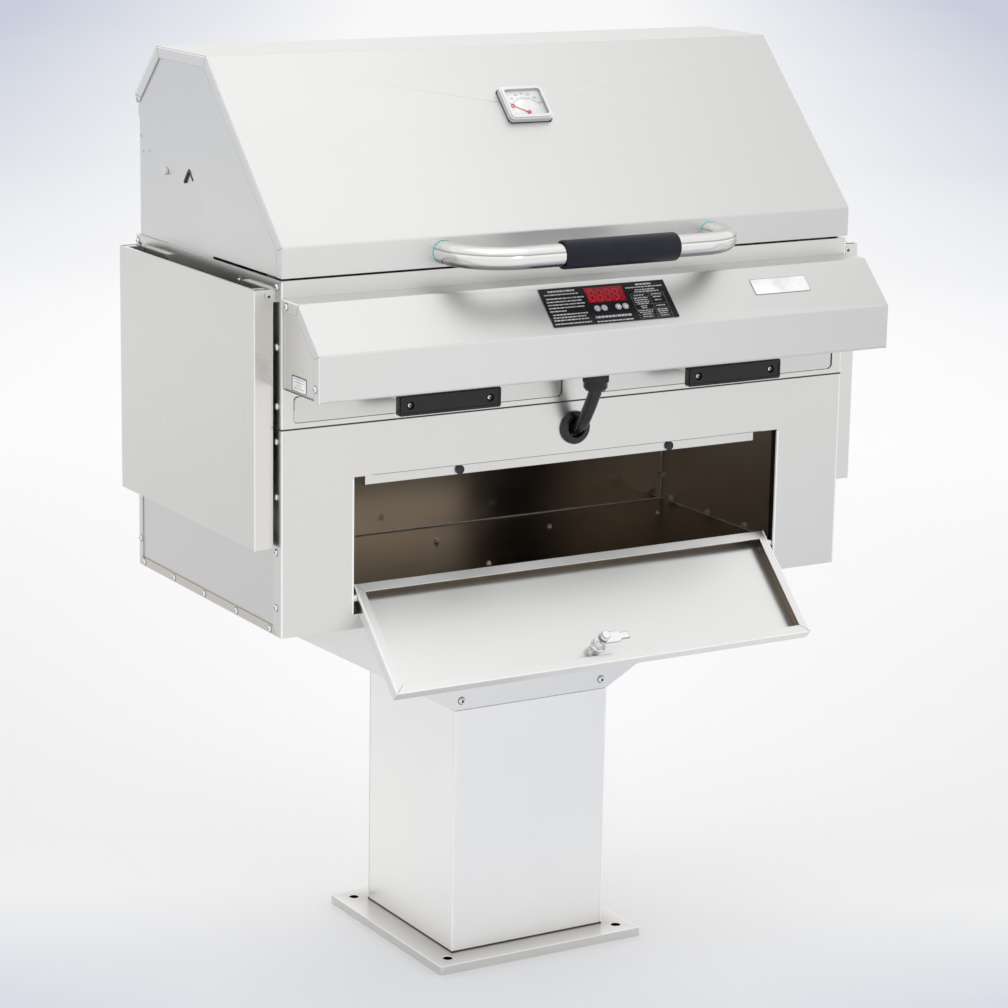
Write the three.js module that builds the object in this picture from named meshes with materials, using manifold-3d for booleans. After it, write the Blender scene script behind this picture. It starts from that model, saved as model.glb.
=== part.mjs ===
// Electric barbecue grill on a square pedestal, in millimetres, +Z up, front towards -Y
import * as THREE from 'three';
import { mergeVertices } from 'three/addons/utils/BufferGeometryUtils.js';
import Module from 'manifold-3d';

const wasm = await Module();
wasm.setup();

// Driving dimensions
const body = { width: 812.8, depth: 406.4, underside: 495 };
const sheet = 1.5; // stainless sheet of the outer body
const seat = 0.3; // gap between pieces that bear on each other
const overrun = 5; // how far a cutter stands out of what it cuts

// Places that most pieces share
const side = body.width / 2;
const front = -body.depth / 2;
const back = body.depth / 2;

// Colours, roughness and metalness
const finish = {
	steel: [ 0xc9c9c6, 0.34, 1 ],
	brightSteel: [ 0xdedede, 0.14, 1 ],
	darkSteel: [ 0x77736c, 0.4, 1 ],
	rubber: [ 0x17171a, 0.8, 0 ],
	plastic: [ 0x1b1b1e, 0.45, 0 ],
	grip: [ 0x23242c, 0.7, 0 ],
	dial: [ 0xf3f3ee, 0.5, 0 ],
	red: [ 0xc01820, 0.4, 0 ],
	overlay: [ 0x141416, 0.3, 0 ],
	button: [ 0xc4c4c6, 0.5, 0 ],
};

const grill = new THREE.Group();

// Turns a three.js geometry into a closed solid that can be joined and cut
function solidOf( geometry ) {

	geometry.deleteAttribute( 'normal' );
	geometry.deleteAttribute( 'uv' );
	const merged = mergeVertices( geometry );
	const corners = merged.index.array;
	const triangles = [];
	for ( let i = 0; i < corners.length; i += 3 ) {

		const [ a, b, c ] = [ corners[ i ], corners[ i + 1 ], corners[ i + 2 ] ];
		if ( a !== b && b !== c && c !== a ) triangles.push( a, b, c );

	}

	const made = ( triVerts ) => new wasm.Manifold( new wasm.Mesh( {
		numProp: 3,
		vertProperties: new Float32Array( merged.attributes.position.array ),
		triVerts,
	} ) );
	const solid = made( new Uint32Array( triangles ) );
	return solid.volume() > 0 ? solid : made( new Uint32Array( triangles ).reverse() );

}

// Turns a solid back into a three.js geometry
function geometryOf( solid ) {

	const mesh = solid.getMesh();
	const geometry = new THREE.BufferGeometry();
	geometry.setAttribute( 'position', new THREE.BufferAttribute( mesh.vertProperties, 3 ) );
	geometry.setIndex( new THREE.BufferAttribute( mesh.triVerts, 1 ) );
	geometry.computeVertexNormals();
	return geometry;

}

function join( solids ) {

	return solids.reduce( ( whole, next ) => whole.add( next ) );

}

function cut( solid, cutters ) {

	return cutters.reduce( ( rest, cutter ) => rest.subtract( cutter ), solid );

}

// Adds a named piece to the grill, or to a turned group of it
function piece( name, solid, look, parent = grill ) {

	const [ color, roughness, metalness ] = finish[ look ];
	const material = new THREE.MeshStandardMaterial( { color, roughness, metalness } );
	const mesh = new THREE.Mesh( geometryOf( solid ), material );
	mesh.name = name;
	parent.add( mesh );
	return mesh;

}

function box( x0, x1, y0, y1, z0, z1 ) {

	const geometry = new THREE.BoxGeometry( x1 - x0, y1 - y0, z1 - z0 );
	geometry.translate( ( x0 + x1 ) / 2, ( y0 + y1 ) / 2, ( z0 + z1 ) / 2 );
	return solidOf( geometry );

}

function outline( points ) {

	return new THREE.Shape( points.map( ( [ a, b ] ) => new THREE.Vector2( a, b ) ) );

}

// A regular outline about a centre
function disc( a, b, radius, sides = 16, turn = 0 ) {

	const points = [];
	for ( let i = 0; i < sides; i ++ ) {

		const angle = turn + 2 * Math.PI * i / sides;
		points.push( [ a + radius * Math.cos( angle ), b + radius * Math.sin( angle ) ] );

	}

	return outline( points );

}

// A rectangle with rounded corners, given by its limits
function roundedBox( a0, a1, b0, b1, radius, steps = 3 ) {

	const corners = [ [ a1 - radius, b1 - radius ], [ a0 + radius, b1 - radius ],
		[ a0 + radius, b0 + radius ], [ a1 - radius, b0 + radius ] ];
	const points = [];
	corners.forEach( ( [ a, b ], quarter ) => {

		for ( let i = 0; i <= steps; i ++ ) {

			const angle = ( quarter + i / steps ) * Math.PI / 2;
			points.push( [ a + radius * Math.cos( angle ), b + radius * Math.sin( angle ) ] );

		}

	} );
	return outline( points );

}

// Rounds the corners of a path of folds, by arcs of one radius
function softened( points, radius, steps = 3 ) {

	const path = points.map( ( [ a, b ] ) => new THREE.Vector2( a, b ) );
	return path.flatMap( ( corner, i ) => {

		if ( radius === 0 || i === 0 || i === path.length - 1 ) return [ corner ];
		const toLast = path[ i - 1 ].clone().sub( corner ).normalize();
		const toNext = path[ i + 1 ].clone().sub( corner ).normalize();
		const half = Math.acos( toLast.dot( toNext ) ) / 2;
		const reach = radius / Math.tan( half );
		const middle = toLast.clone().add( toNext ).normalize();
		const centre = corner.clone().addScaledVector( middle, radius / Math.sin( half ) );
		const from = corner.clone().addScaledVector( toLast, reach ).sub( centre );
		const to = corner.clone().addScaledVector( toNext, reach ).sub( centre );
		const sweep = Math.atan2( from.cross( to ), from.dot( to ) );
		const arc = [];
		for ( let k = 0; k <= steps; k ++ ) {

			arc.push( from.clone().rotateAround( new THREE.Vector2(), sweep * k / steps ).add( centre ) );

		}

		return arc;

	} );

}

// A path moved to its left by a distance, with its corners mitred
function offsetPath( path, distance ) {

	const across = [];
	for ( let i = 1; i < path.length; i ++ ) {

		const along = path[ i ].clone().sub( path[ i - 1 ] ).normalize();
		across.push( new THREE.Vector2( - along.y, along.x ) );

	}

	return path.map( ( point, i ) => {

		const before = across[ Math.max( i - 1, 0 ) ];
		const after = across[ Math.min( i, across.length - 1 ) ];
		const middle = before.clone().add( after );
		return point.clone().addScaledVector( middle, 2 * distance / middle.lengthSq() );

	} );

}

// The section of a folded sheet: a path of folds, and the sheet's thickness to its left
function folded( points, thickness, radius = 0 ) {

	const path = softened( points, radius );
	return new THREE.Shape( [ ...path, ...offsetPath( path, thickness ).reverse() ] );

}

// Extrudes an outline upwards from zero, and cuts its holes out
function extruded( shape, length ) {

	const { shape: rim, holes } = shape.extractPoints( 1 );
	const prism = ( points ) => solidOf( new THREE.ExtrudeGeometry( new THREE.Shape( points ),
		{ depth: length, bevelEnabled: false } ) );
	return cut( prism( rim ), holes.map( prism ) );

}

// Extrudes an outline of X and Y upwards
function alongZ( shape, z0, z1 ) {

	return extruded( shape, z1 - z0 ).translate( [ 0, 0, z0 ] );

}

// Extrudes an outline of Y and Z along X
function alongX( shape, x0, x1 ) {

	const turn = new THREE.Matrix4().set( 0, 0, 1, x0, 1, 0, 0, 0, 0, 1, 0, 0, 0, 0, 0, 1 );
	return extruded( shape, x1 - x0 ).transform( turn.elements );

}

// Extrudes an outline of X and Z along Y
function alongY( shape, y0, y1 ) {

	const turn = new THREE.Matrix4().set( 1, 0, 0, 0, 0, 0, - 1, y1, 0, 1, 0, 0, 0, 0, 0, 1 );
	return extruded( shape, y1 - y0 ).transform( turn.elements );

}

// Turns a profile of radius and height about the Z axis
function turned( profile, sides = 20 ) {

	const points = profile.map( ( [ radius, height ] ) => new THREE.Vector2( radius, height ) );
	return solidOf( new THREE.LatheGeometry( points, sides ).rotateX( Math.PI / 2 ) );

}

// A piece and its mirror image, each with a name of its own
function pair( name, solid, look, parent ) {

	piece( `right_${ name }`, solid, look, parent );
	piece( `left_${ name }`, solid.mirror( [ 1, 0, 0 ] ), look, parent );

}

// The same solid on the left and on the right
function bothSides( solid ) {

	return join( [ solid, solid.mirror( [ 1, 0, 0 ] ) ] );

}

// The same solid at the front and at the back of the body
function bothEnds( solid ) {

	return join( [ solid, solid.mirror( [ 0, 1, 0 ] ) ] );

}

// A path that steps straight from each given point to the next
class SteppedPath extends THREE.Curve {

	constructor( points ) {

		super();
		this.points = points;

	}

	getPoint( t, target = new THREE.Vector3() ) {

		const place = t * ( this.points.length - 1 );
		const i = Math.min( Math.floor( place ), this.points.length - 2 );
		return target.lerpVectors( this.points[ i ], this.points[ i + 1 ], place - i );

	}

	getPointAt( u, target ) {

		return this.getPoint( u, target );

	}

	getTangentAt( u, target = new THREE.Vector3() ) {

		const last = this.points.length - 1;
		const i = Math.round( u * last );
		const before = this.points[ Math.max( i - 1, 0 ) ];
		const after = this.points[ Math.min( i + 1, last ) ];
		return target.subVectors( after, before ).normalize();

	}

}

// A round bar or tube of one radius along a path of points
function bar( points, radius, sides = 8 ) {

	const path = new SteppedPath( points );
	const settings = { steps: points.length - 1, extrudePath: path, bevelEnabled: false };
	return solidOf( new THREE.ExtrudeGeometry( disc( 0, 0, radius, sides ), settings ) );

}

// Points of a quarter or half turn in a level plane
function levelArc( x, y, z, radius, from, to, steps ) {

	const points = [];
	for ( let i = 0; i <= steps; i ++ ) {

		const angle = from + ( to - from ) * i / steps;
		points.push( new THREE.Vector3( x + radius * Math.cos( angle ), y + radius * Math.sin( angle ), z ) );

	}

	return points;

}

// A round pin, bolt or hole along X or Y
function pinX( y, z, radius, x0, x1, sides = 12 ) {

	return alongX( disc( y, z, radius, sides ), x0, x1 );

}

function pinY( x, z, radius, y0, y1, sides = 12 ) {

	return alongY( disc( x, z, radius, sides ), y0, y1 );

}

// Base plate, column and cradle
const base = { side: 304.8, thickness: 12.7, cornerRadius: 5, anchorHole: 13, anchorInset: 24 };
const conduit = { hole: 38, setback: 60 };
const column = { side: 228.6, wall: 3, top: 338.7, bend: 4 };
const collar = { grip: 30, rise: 30, wall: 3, sideInset: 5 };
const cradle = { sheet: 2, inset: 17.4, flange: 25, seam: 0.5 };
const cradleScrew = { spacing: 210, rise: 12.5, hole: 5.5 };
const cradleTop = body.underside - seat;
const cradleBottom = column.top + cradle.seam;
const columnHalf = column.side / 2;
const cradleHalf = side - cradle.inset; // half the width of the cradle's top

function makeBasePlate() {

	const half = base.side / 2;
	const shape = roundedBox( - half, half, - half, half, base.cornerRadius );
	const reach = half - base.anchorInset;
	for ( const x of [ - reach, reach ] ) {

		for ( const y of [ - reach, reach ] ) shape.holes.push( disc( x, y, base.anchorHole / 2 ) );

	}

	shape.holes.push( disc( 0, conduit.setback, conduit.hole / 2, 20 ) );
	piece( 'base_plate', alongZ( shape, 0, base.thickness ), 'steel' );

}

function squareTube( halfX, halfY, wall, bend, z0, z1 ) {

	const outside = roundedBox( - halfX, halfX, - halfY, halfY, bend );
	const inside = box( wall - halfX, halfX - wall, wall - halfY, halfY - wall, z0 - overrun, z1 + overrun );
	return cut( alongZ( outside, z0, z1 ), [ inside ] );

}

function cradleScrewHoles() {

	return [ - 1, 1 ].map( ( hand ) => pinY( hand * cradleScrew.spacing / 2, cradleBottom + cradleScrew.rise,
		cradleScrew.hole / 2, - columnHalf - overrun, columnHalf + overrun ) );

}

// The plate of the cradle that faces the front, and its top flange under the cabinet
function makeCradlePlate() {

	const slab = outline( [ [ - columnHalf, cradleBottom ], [ columnHalf, cradleBottom ],
		[ cradleHalf, cradleTop ], [ - cradleHalf, cradleTop ] ] );
	const face = alongY( slab, - columnHalf, - columnHalf + cradle.sheet );
	const flange = box( - cradleHalf, cradleHalf, - columnHalf - cradle.flange, - columnHalf + cradle.sheet,
		cradleTop - cradle.sheet, cradleTop );
	return cut( join( [ face, flange ] ), cradleScrewHoles() );

}

function makeCradle() {

	const plate = makeCradlePlate();
	piece( 'cradle_front_plate', plate, 'steel' );
	piece( 'cradle_rear_plate', plate.mirror( [ 0, 1, 0 ] ), 'steel' );
	const slope = folded( [ [ columnHalf, cradleBottom ], [ cradleHalf, cradleTop ],
		[ cradleHalf - cradle.flange, cradleTop ] ], cradle.sheet );
	const reach = columnHalf - cradle.sheet - seat;
	pair( 'cradle_panel', alongY( slope, - reach, reach ), 'steel' );

}

// The column, with a collar welded in its top that the cradle is screwed to
function makeColumn() {

	const floor = base.thickness + seat;
	const inner = columnHalf - column.wall;
	const shaft = squareTube( columnHalf, columnHalf, column.wall, column.bend, floor, column.top );
	const inColumn = squareTube( inner, inner, collar.wall, column.wall, column.top - collar.grip,
		column.top );
	const inCradle = squareTube( columnHalf - collar.sideInset, columnHalf - cradle.sheet - seat, collar.wall,
		column.wall, column.top - collar.grip / 2, column.top + collar.rise );
	const clear = box( collar.sideInset + collar.wall - columnHalf,
		columnHalf - collar.sideInset - collar.wall,
		cradle.sheet + seat + collar.wall - columnHalf, columnHalf - cradle.sheet - seat - collar.wall,
		column.top - collar.grip, column.top + collar.rise + overrun );
	piece( 'pedestal_column', cut( join( [ shaft, inColumn, inCradle ] ), [ clear, ...cradleScrewHoles() ] ),
		'steel' );

}

makeBasePlate();
makeColumn();
makeCradle();

// Storage cabinet
const cabinet = { height: 253.4, frontReturn: 22, backReturn: 9, floorFlange: 10.5, shieldFlange: 12 };
const opening = { stile: 97.4, sill: 18, header: 65.4, reveal: 12 };
const rail = { endGap: 24.5, setback: 20, drop: 15.7, depth: 8, height: 29.2 };
const bumper = { spacing: 307, radius: 5.8, drop: 9.8 };
const grommet = { drop: 33.4, radius: 21, bore: 12, groove: 15, nose: 6, tail: 3 };
const junction = { width: 120, depth: 56, height: 42, setback: 14 };
const cabinetTop = body.underside + cabinet.height;
const skinInside = side - sheet - seat; // outer face of a side panel, under the front's return
const openingBottom = body.underside + opening.sill;
const openingTop = cabinetTop - opening.header;
const openingHalf = side - opening.stile;
const grommetHeight = cabinetTop - grommet.drop;
const railBottom = openingTop - rail.drop;
const railBack = front + rail.setback + rail.depth;

// The front or back plate of a box: a face and two returns that lap the side panels
function lappedPlate( z0, z1, returnDepth ) {

	const face = box( - side, side, front, front + sheet, z0, z1 );
	const lap = box( side - sheet, side, front, front + returnDepth, z0, z1 );
	return join( [ face, bothSides( lap ) ] );

}

function sidePanel( z0, z1 ) {

	return box( skinInside - sheet, skinInside, front + sheet + seat, back - sheet - seat, z0, z1 );

}

// The floor's upturned edge, with its ends cut at a slant
function floorFlange( margin ) {

	const z0 = body.underside - margin;
	const z1 = body.underside + cabinet.floorFlange + margin;
	const lead = front + cabinet.frontReturn - cabinet.floorFlange;
	const shape = outline( [ [ lead - 2 * margin, z0 ], [ back - cabinet.backReturn - seat, z0 ],
		[ back - cabinet.backReturn - seat, z1 ], [ lead + cabinet.floorFlange, z1 ] ] );
	return alongX( shape, side - sheet - margin, side + margin );

}

function makeCabinetShell() {

	const tray = box( - side, side, front + sheet + seat, back - sheet - seat, body.underside,
		body.underside + sheet );
	const laps = bothSides( box( side - sheet - seat, side + overrun, front,
		front + cabinet.frontReturn + seat,
		body.underside - overrun, body.underside + sheet + overrun ) );
	const rearLaps = bothSides( box( side - sheet - seat, side + overrun, back - cabinet.backReturn - seat,
		back, body.underside - overrun, body.underside + sheet + overrun ) );
	piece( 'cabinet_floor', join( [ cut( tray, [ laps, rearLaps ] ), bothSides( floorFlange( 0 ) ) ] ),
		'steel' );
	const wall = sidePanel( body.underside + sheet + seat, cabinetTop );
	pair( 'cabinet_side', wall, 'steel' );
	const rear = lappedPlate( body.underside, cabinetTop, cabinet.backReturn ).mirror( [ 0, 1, 0 ] );
	piece( 'cabinet_back', rear, 'steel' );

}

function makeCabinetFront() {

	const half = openingHalf;
	const reveal = box( - half - sheet, half + sheet, front, front + opening.reveal,
		openingBottom - sheet, openingTop + sheet );
	const mouth = box( - half, half, front - overrun, front + opening.reveal + overrun, openingBottom,
		openingTop );
	const cableHole = pinY( 0, grommetHeight, grommet.groove + seat, front - overrun, front + sheet + overrun,
		20 );
	const pivots = bothSides( pinX( doorPivotY, doorPivotZ, doorPin.radius + seat, half - overrun,
		half + sheet + overrun ) );
	const plate = join( [ lappedPlate( body.underside, cabinetTop, cabinet.frontReturn ), reveal ] );
	const cutters = [ mouth, cableHole, pivots, bothSides( floorFlange( seat ) ) ];
	piece( 'cabinet_front', cut( plate, cutters ), 'steel' );

}

// The deck that keeps heat and drips from the store, with the terminal box under it
function makeHeatShield() {

	const half = skinInside - sheet - seat;
	const section = outline( [ [ - half, cabinetTop - cabinet.shieldFlange ], [ - half, cabinetTop ],
		[ half, cabinetTop ],
		[ half, cabinetTop - cabinet.shieldFlange ], [ half - sheet, cabinetTop - cabinet.shieldFlange ],
		[ half - sheet, cabinetTop - sheet ], [ sheet - half, cabinetTop - sheet ],
		[ sheet - half, cabinetTop - cabinet.shieldFlange ] ] );
	const deck = alongY( section, front + sheet + seat, back - sheet - seat );
	const wall = front + junction.setback;
	const terminals = box( - junction.width / 2, junction.width / 2, wall, wall + junction.depth,
		cabinetTop - sheet - junction.height, cabinetTop - sheet / 2 );
	piece( 'heat_shield', join( [ deck, terminals ] ), 'steel' );

}

// The rail behind the top of the opening: the door stops on its face and the latch hooks behind it
function makeStopRail() {

	const face = front + rail.setback;
	const top = railBottom + rail.height;
	const section = folded( [ [ front + sheet + seat, top ], [ face, top ], [ face, railBottom + sheet ],
		[ railBack, railBottom + sheet ] ], - sheet );
	const half = openingHalf - rail.endGap;
	piece( 'door_stop_rail', alongX( section, - half, half ), 'steel' );
	const height = openingTop - bumper.drop;
	const stud = pinY( bumper.spacing / 2, height, bumper.radius, doorFace + door.thickness + seat,
		face - sheet - seat, 14 );
	pair( 'door_bumper', stud, 'rubber' );

}

function makeGrommet() {

	const profile = [ [ grommet.bore, grommet.tail ], [ grommet.bore, - grommet.nose ],
		[ grommet.radius - grommet.nose / 2, - grommet.nose ], [ grommet.radius, - grommet.nose / 2 ],
		[ grommet.radius, 0 ], [ grommet.groove, 0 ], [ grommet.groove, sheet + 2 * seat ],
		[ grommet.radius - grommet.tail, sheet + 2 * seat ],
		[ grommet.radius - grommet.tail, sheet + 2 * seat + grommet.tail ],
		[ grommet.bore, sheet + 2 * seat + grommet.tail ], [ grommet.bore, grommet.tail ] ];
	const ring = turned( profile, 24 ).rotate( [ - 90, 0, 0 ] );
	piece( 'cable_grommet', ring.translate( [ 0, front - seat, grommetHeight ] ), 'rubber' );

}

// Door: a folded pan that turns on two pins low in the opening, drawn shut and then let down
const door = { thickness: 14.5, sheet: 1.2, lip: 11.5, sideGap: 6.8, bottomGap: 4, topGap: 10, inset: 0.8 };
const doorPin = { radius: 3, hole: 3.3, rise: 14.3, shoulder: 6, nut: 6, nutHeight: 3.5, end: 4 };
const latch = { offset: - 8, fromTop: 26, stud: 4, head: 11.5, headHeight: 2, nut: 9, nutFrom: 13.5,
	nutHeight: 4.5, washer: 10, washerHeight: 1.5, foot: 8, footHeight: 3 };
const lever = { reach: 37, shoulder: 22, width: 15, tipWidth: 9, thickness: 3, gap: 0.8, screw: 6,
	screwGap: 1.5, screwHeight: 6.5 };
const doorHalf = openingHalf - door.sideGap;
const doorBottom = openingBottom + door.bottomGap;
const doorTop = openingTop - door.topGap;
const doorFace = front + door.inset;
const doorPivotY = doorFace + door.thickness / 2;
const doorPivotZ = doorBottom + doorPin.rise;
const latchHeight = doorTop - latch.fromTop;
const leverFace = railBack + lever.gap;

// The angle at which the let-down door's skin comes to rest on the sill
function openAngle() {

	const out = doorPivotY - front;
	const up = doorPivotZ - openingBottom;
	const reach = Math.hypot( out, up );
	return Math.atan2( up, out ) + Math.acos( ( door.thickness / 2 + seat ) / reach );

}

// A group whose contents are drawn with the door shut, and which lets them down with it
function doorGroup() {

	const hinge = new THREE.Group();
	hinge.position.set( 0, doorPivotY, doorPivotZ );
	hinge.rotation.x = openAngle();
	const contents = new THREE.Group();
	contents.position.set( 0, - doorPivotY, - doorPivotZ );
	hinge.add( contents );
	grill.add( hinge );
	return contents;

}

function makeDoor( parent ) {

	const top = doorTop;
	const inner = doorFace + door.thickness;
	const shell = box( - doorHalf, doorHalf, doorFace, inner, doorBottom, top );
	const hollow = box( door.sheet - doorHalf, doorHalf - door.sheet, doorFace + door.sheet,
		inner - door.sheet, doorBottom + door.sheet, top - door.sheet );
	const window = box( door.lip - doorHalf, doorHalf - door.lip, inner - overrun, inner + overrun,
		doorBottom + door.lip, top - door.lip );
	const pivots = pinX( doorPivotY, doorPivotZ, doorPin.hole, - doorHalf - overrun, doorHalf + overrun );
	const keyway = pinY( latch.offset, latchHeight, latch.stud + seat, doorFace - overrun,
		doorFace + door.sheet + overrun, 16 );
	piece( 'door_pan', cut( shell, [ hollow, window, pivots, keyway ] ), 'steel', parent );

}

// Each pin passes from the door's edge through a shoulder and the reveal to a nut
function makeDoorPivots() {

	const half = openingHalf;
	const inner = pinX( doorPivotY, doorPivotZ, doorPin.radius, doorHalf - door.sheet - doorPin.end,
		half + sheet + seat );
	const shoulder = pinX( doorPivotY, doorPivotZ, doorPin.shoulder, doorHalf + seat, half - seat, 16 );
	const nut = pinX( doorPivotY, doorPivotZ, doorPin.nut, half + sheet + seat,
		half + sheet + seat + doorPin.nutHeight, 6 );
	pair( 'door_pivot', join( [ inner, shoulder, nut ] ), 'brightSteel' );

}

// The quarter-turn latch: a keyed stud through the door, with a nut on it and a lever at its end
function makeLatch( parent ) {

	const skin = doorFace + door.sheet;
	const at = ( radius, y0, y1, sides ) => pinY( latch.offset, latchHeight, radius, y0, y1, sides );
	const head = at( latch.head, doorFace - seat - latch.headHeight, doorFace - seat, 20 );
	const slot = box( latch.offset - latch.headHeight / 2, latch.offset + latch.headHeight / 2,
		doorFace - overrun, doorFace - seat - latch.headHeight / 2, latchHeight - latch.head / 2,
		latchHeight + latch.head / 2 );
	const stud = at( latch.stud, doorFace - seat - latch.headHeight / 2, leverFace - seat, 12 );
	const foot = at( latch.foot, skin + seat, skin + seat + latch.footHeight, 16 );
	const nutFrom = doorFace + latch.nutFrom;
	const washer = at( latch.washer, nutFrom - latch.washerHeight, nutFrom, 18 );
	const nut = at( latch.nut, nutFrom - latch.washerHeight / 2, nutFrom + latch.nutHeight, 6 );
	piece( 'latch_stud', cut( join( [ head, stud, foot, washer, nut ] ), [ slot ] ), 'brightSteel', parent );
	const arm = outline( [ [ 0, - lever.width / 2 ], [ lever.shoulder, - lever.width / 2 ],
		[ lever.shoulder + ( lever.width - lever.tipWidth ) / 2, - lever.tipWidth / 2 ],
		[ lever.reach, - lever.tipWidth / 2 ],
		[ lever.reach, lever.tipWidth / 2 ], [ lever.shoulder + ( lever.width - lever.tipWidth ) / 2,
		lever.tipWidth / 2 ], [ lever.shoulder, lever.width / 2 ], [ 0, lever.width / 2 ] ] );
	const end = leverFace + lever.thickness;
	const plate = alongY( arm, leverFace, end );
	const eye = pinY( 0, 0, lever.width / 2, leverFace, end, 16 );
	const washerTop = pinY( 0, 0, lever.screw - lever.screwGap, end - seat, end + lever.screwGap, 12 );
	const screw = pinY( 0, 0, lever.screw, end + lever.screwGap, end + lever.screwGap + lever.screwHeight,
		12 );
	const whole = join( [ plate, eye, washerTop, screw ] ).translate( [ latch.offset, 0, latchHeight ] );
	piece( 'latch_lever', whole, 'brightSteel', parent );

}

makeCabinetShell();
makeCabinetFront();
makeHeatShield();
makeStopRail();
makeGrommet();
makeDoorPivots();
const shutDoor = doorGroup();
makeDoor( shutDoor );
makeLatch( shutDoor );

// Firebox
const firebox = { height: 177, seam: 1, rim: 9, topFlange: 15 };
const liner = { gap: 32, sheet: 1.2, bottom: 46, ledge: 14, elementLedge: 73, grateLedge: 24 };
const tray = { height: 31.5, rise: 7, stile: 42, edgeGap: 16.4, slack: 0.5, corner: 4, rearGap: 48.4,
	wall: 22, floorRise: 9.7, inset: 6 };
const runner = { width: 28, centre: 34, web: 30, stop: 9 };
const pull = { width: 140, height: 25, depth: 10, rise: 18.5, projection: 50, corner: 3,
	screwSpacing: 109.5, recess: 5.2, sink: 5, rim: 2.2, dish: 1.2 };
const strap = { width: 124, height: 8, drop: 1, tab: 14 };
const element = { radius: 4, pitch: 50, legs: 6, margin: 18, tail: 12, strap: 2, strapHeight: 13,
	strapInset: 60 };
const grate = { thickness: 7, frame: 12, slot: 9, bar: 7, margin: 3 };
const fireboxBottom = cabinetTop + firebox.seam;
const fireboxTop = fireboxBottom + firebox.height;
const trayBottom = fireboxBottom + tray.rise;
const trayTop = trayBottom + tray.height;
const trayInner = tray.stile / 2;
const trayOuter = side - tray.edgeGap;
const trayFloor = fireboxBottom + tray.floorRise;
const trayRear = back - tray.rearGap;
const runnerTop = trayFloor - seat;
const linerX = skinInside - sheet - liner.gap;
const linerFront = front + sheet + liner.gap;
const linerBottom = fireboxBottom + liner.bottom;
const linerTop = fireboxTop - sheet - seat;

// Side shelves, which hang folded, and their brackets on the firebox
const shelf = { endGap: 12.7, height: 312, depth: 24.5, sheet: 1.2, standoff: 4.6, drop: 10.9, lipInset: 6,
	notch: 4, tab: 8, hem: 4 };
const shelfPivot = { inset: 17.5, fall: 7.5, radius: 3, head: 4.6, headHeight: 3.4 };
const bracket = { sheet: 2, length: 84, stopHeight: 4, height: 14, tipRadius: 6 };
const shelfInner = side + shelf.standoff;
const shelfOuter = shelfInner + shelf.depth;
const shelfTop = fireboxTop - shelf.drop;
const shelfFront = front + shelf.endGap;
const pivotX = shelfOuter - shelfPivot.inset;
const pivotZ = shelfTop - shelfPivot.fall;
const tabFront = shelfFront + shelf.sheet + seat;

// A shelf bracket: a tab with the pivot pin, and a stop that the raised shelf bears on
function makeBracket() {

	const x0 = side + seat;
	const stopX = pivotX - shelfPivot.fall - seat;
	const top = shelfTop - shelf.sheet - seat;
	const bottom = top - bracket.height;
	const rear = tabFront + bracket.length;
	const tab = join( [ box( x0, pivotX, tabFront, tabFront + bracket.sheet, bottom, top ),
		pinY( pivotX, pivotZ, bracket.tipRadius, tabFront, tabFront + bracket.sheet, 16 ) ] );
	const plate = box( x0, x0 + bracket.sheet, tabFront, rear, bottom, top );
	const foot = box( skinInside - sheet / 2, x0 + bracket.sheet / 2, front + cabinet.frontReturn + seat,
		rear, bottom, top );
	const stop = box( x0, stopX, tabFront + bracket.sheet + shelf.notch, rear, top - bracket.stopHeight, top );
	const face = shelfFront - seat;
	const head = pinY( pivotX, pivotZ, shelfPivot.head, face - shelfPivot.headHeight, face, 12 );
	const socket = pinY( pivotX, pivotZ, shelfPivot.head / 2, face - shelfPivot.headHeight - overrun,
		face - shelfPivot.headHeight / 2, 6 );
	const shank = pinY( pivotX, pivotZ, shelfPivot.radius, face - shelfPivot.headHeight / 4,
		tabFront + bracket.sheet );
	return cut( join( [ tab, plate, foot, stop, shank, head ] ), [ socket ] );

}

// The outline of a tray's front plate, grown by a margin
function trayFace( margin ) {

	return roundedBox( trayInner - margin, trayOuter + margin, trayBottom - margin, trayTop + margin,
		tray.corner + margin );

}

function makeFireboxShell() {

	const plate = lappedPlate( fireboxBottom, fireboxTop, cabinet.frontReturn );
	const inside = skinInside - sheet - seat;
	const lip = box( - inside, inside, front, front + firebox.topFlange, fireboxTop - sheet, fireboxTop );
	const aperture = alongY( trayFace( tray.slack ), front - overrun, front + sheet + overrun );
	piece( 'firebox_front', cut( join( [ plate, lip ] ), [ bothSides( aperture ) ] ), 'steel' );
	piece( 'firebox_back', lappedPlate( fireboxBottom, fireboxTop, cabinet.backReturn ).mirror( [ 0, 1, 0 ] ),
		'steel' );
	const panel = sidePanel( cabinetTop + seat, fireboxTop );
	const rim = box( skinInside - sheet, side, front + cabinet.frontReturn + seat,
		back - cabinet.backReturn - seat, fireboxTop - firebox.rim, fireboxTop );
	const track = box( skinInside - sheet - runner.width, skinInside, front + sheet + seat,
		back - sheet - seat, runnerTop - sheet, runnerTop );
	pair( 'firebox_side', join( [ panel, rim, track, bothEnds( makeBracket() ) ] ), 'steel' );

}

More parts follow.
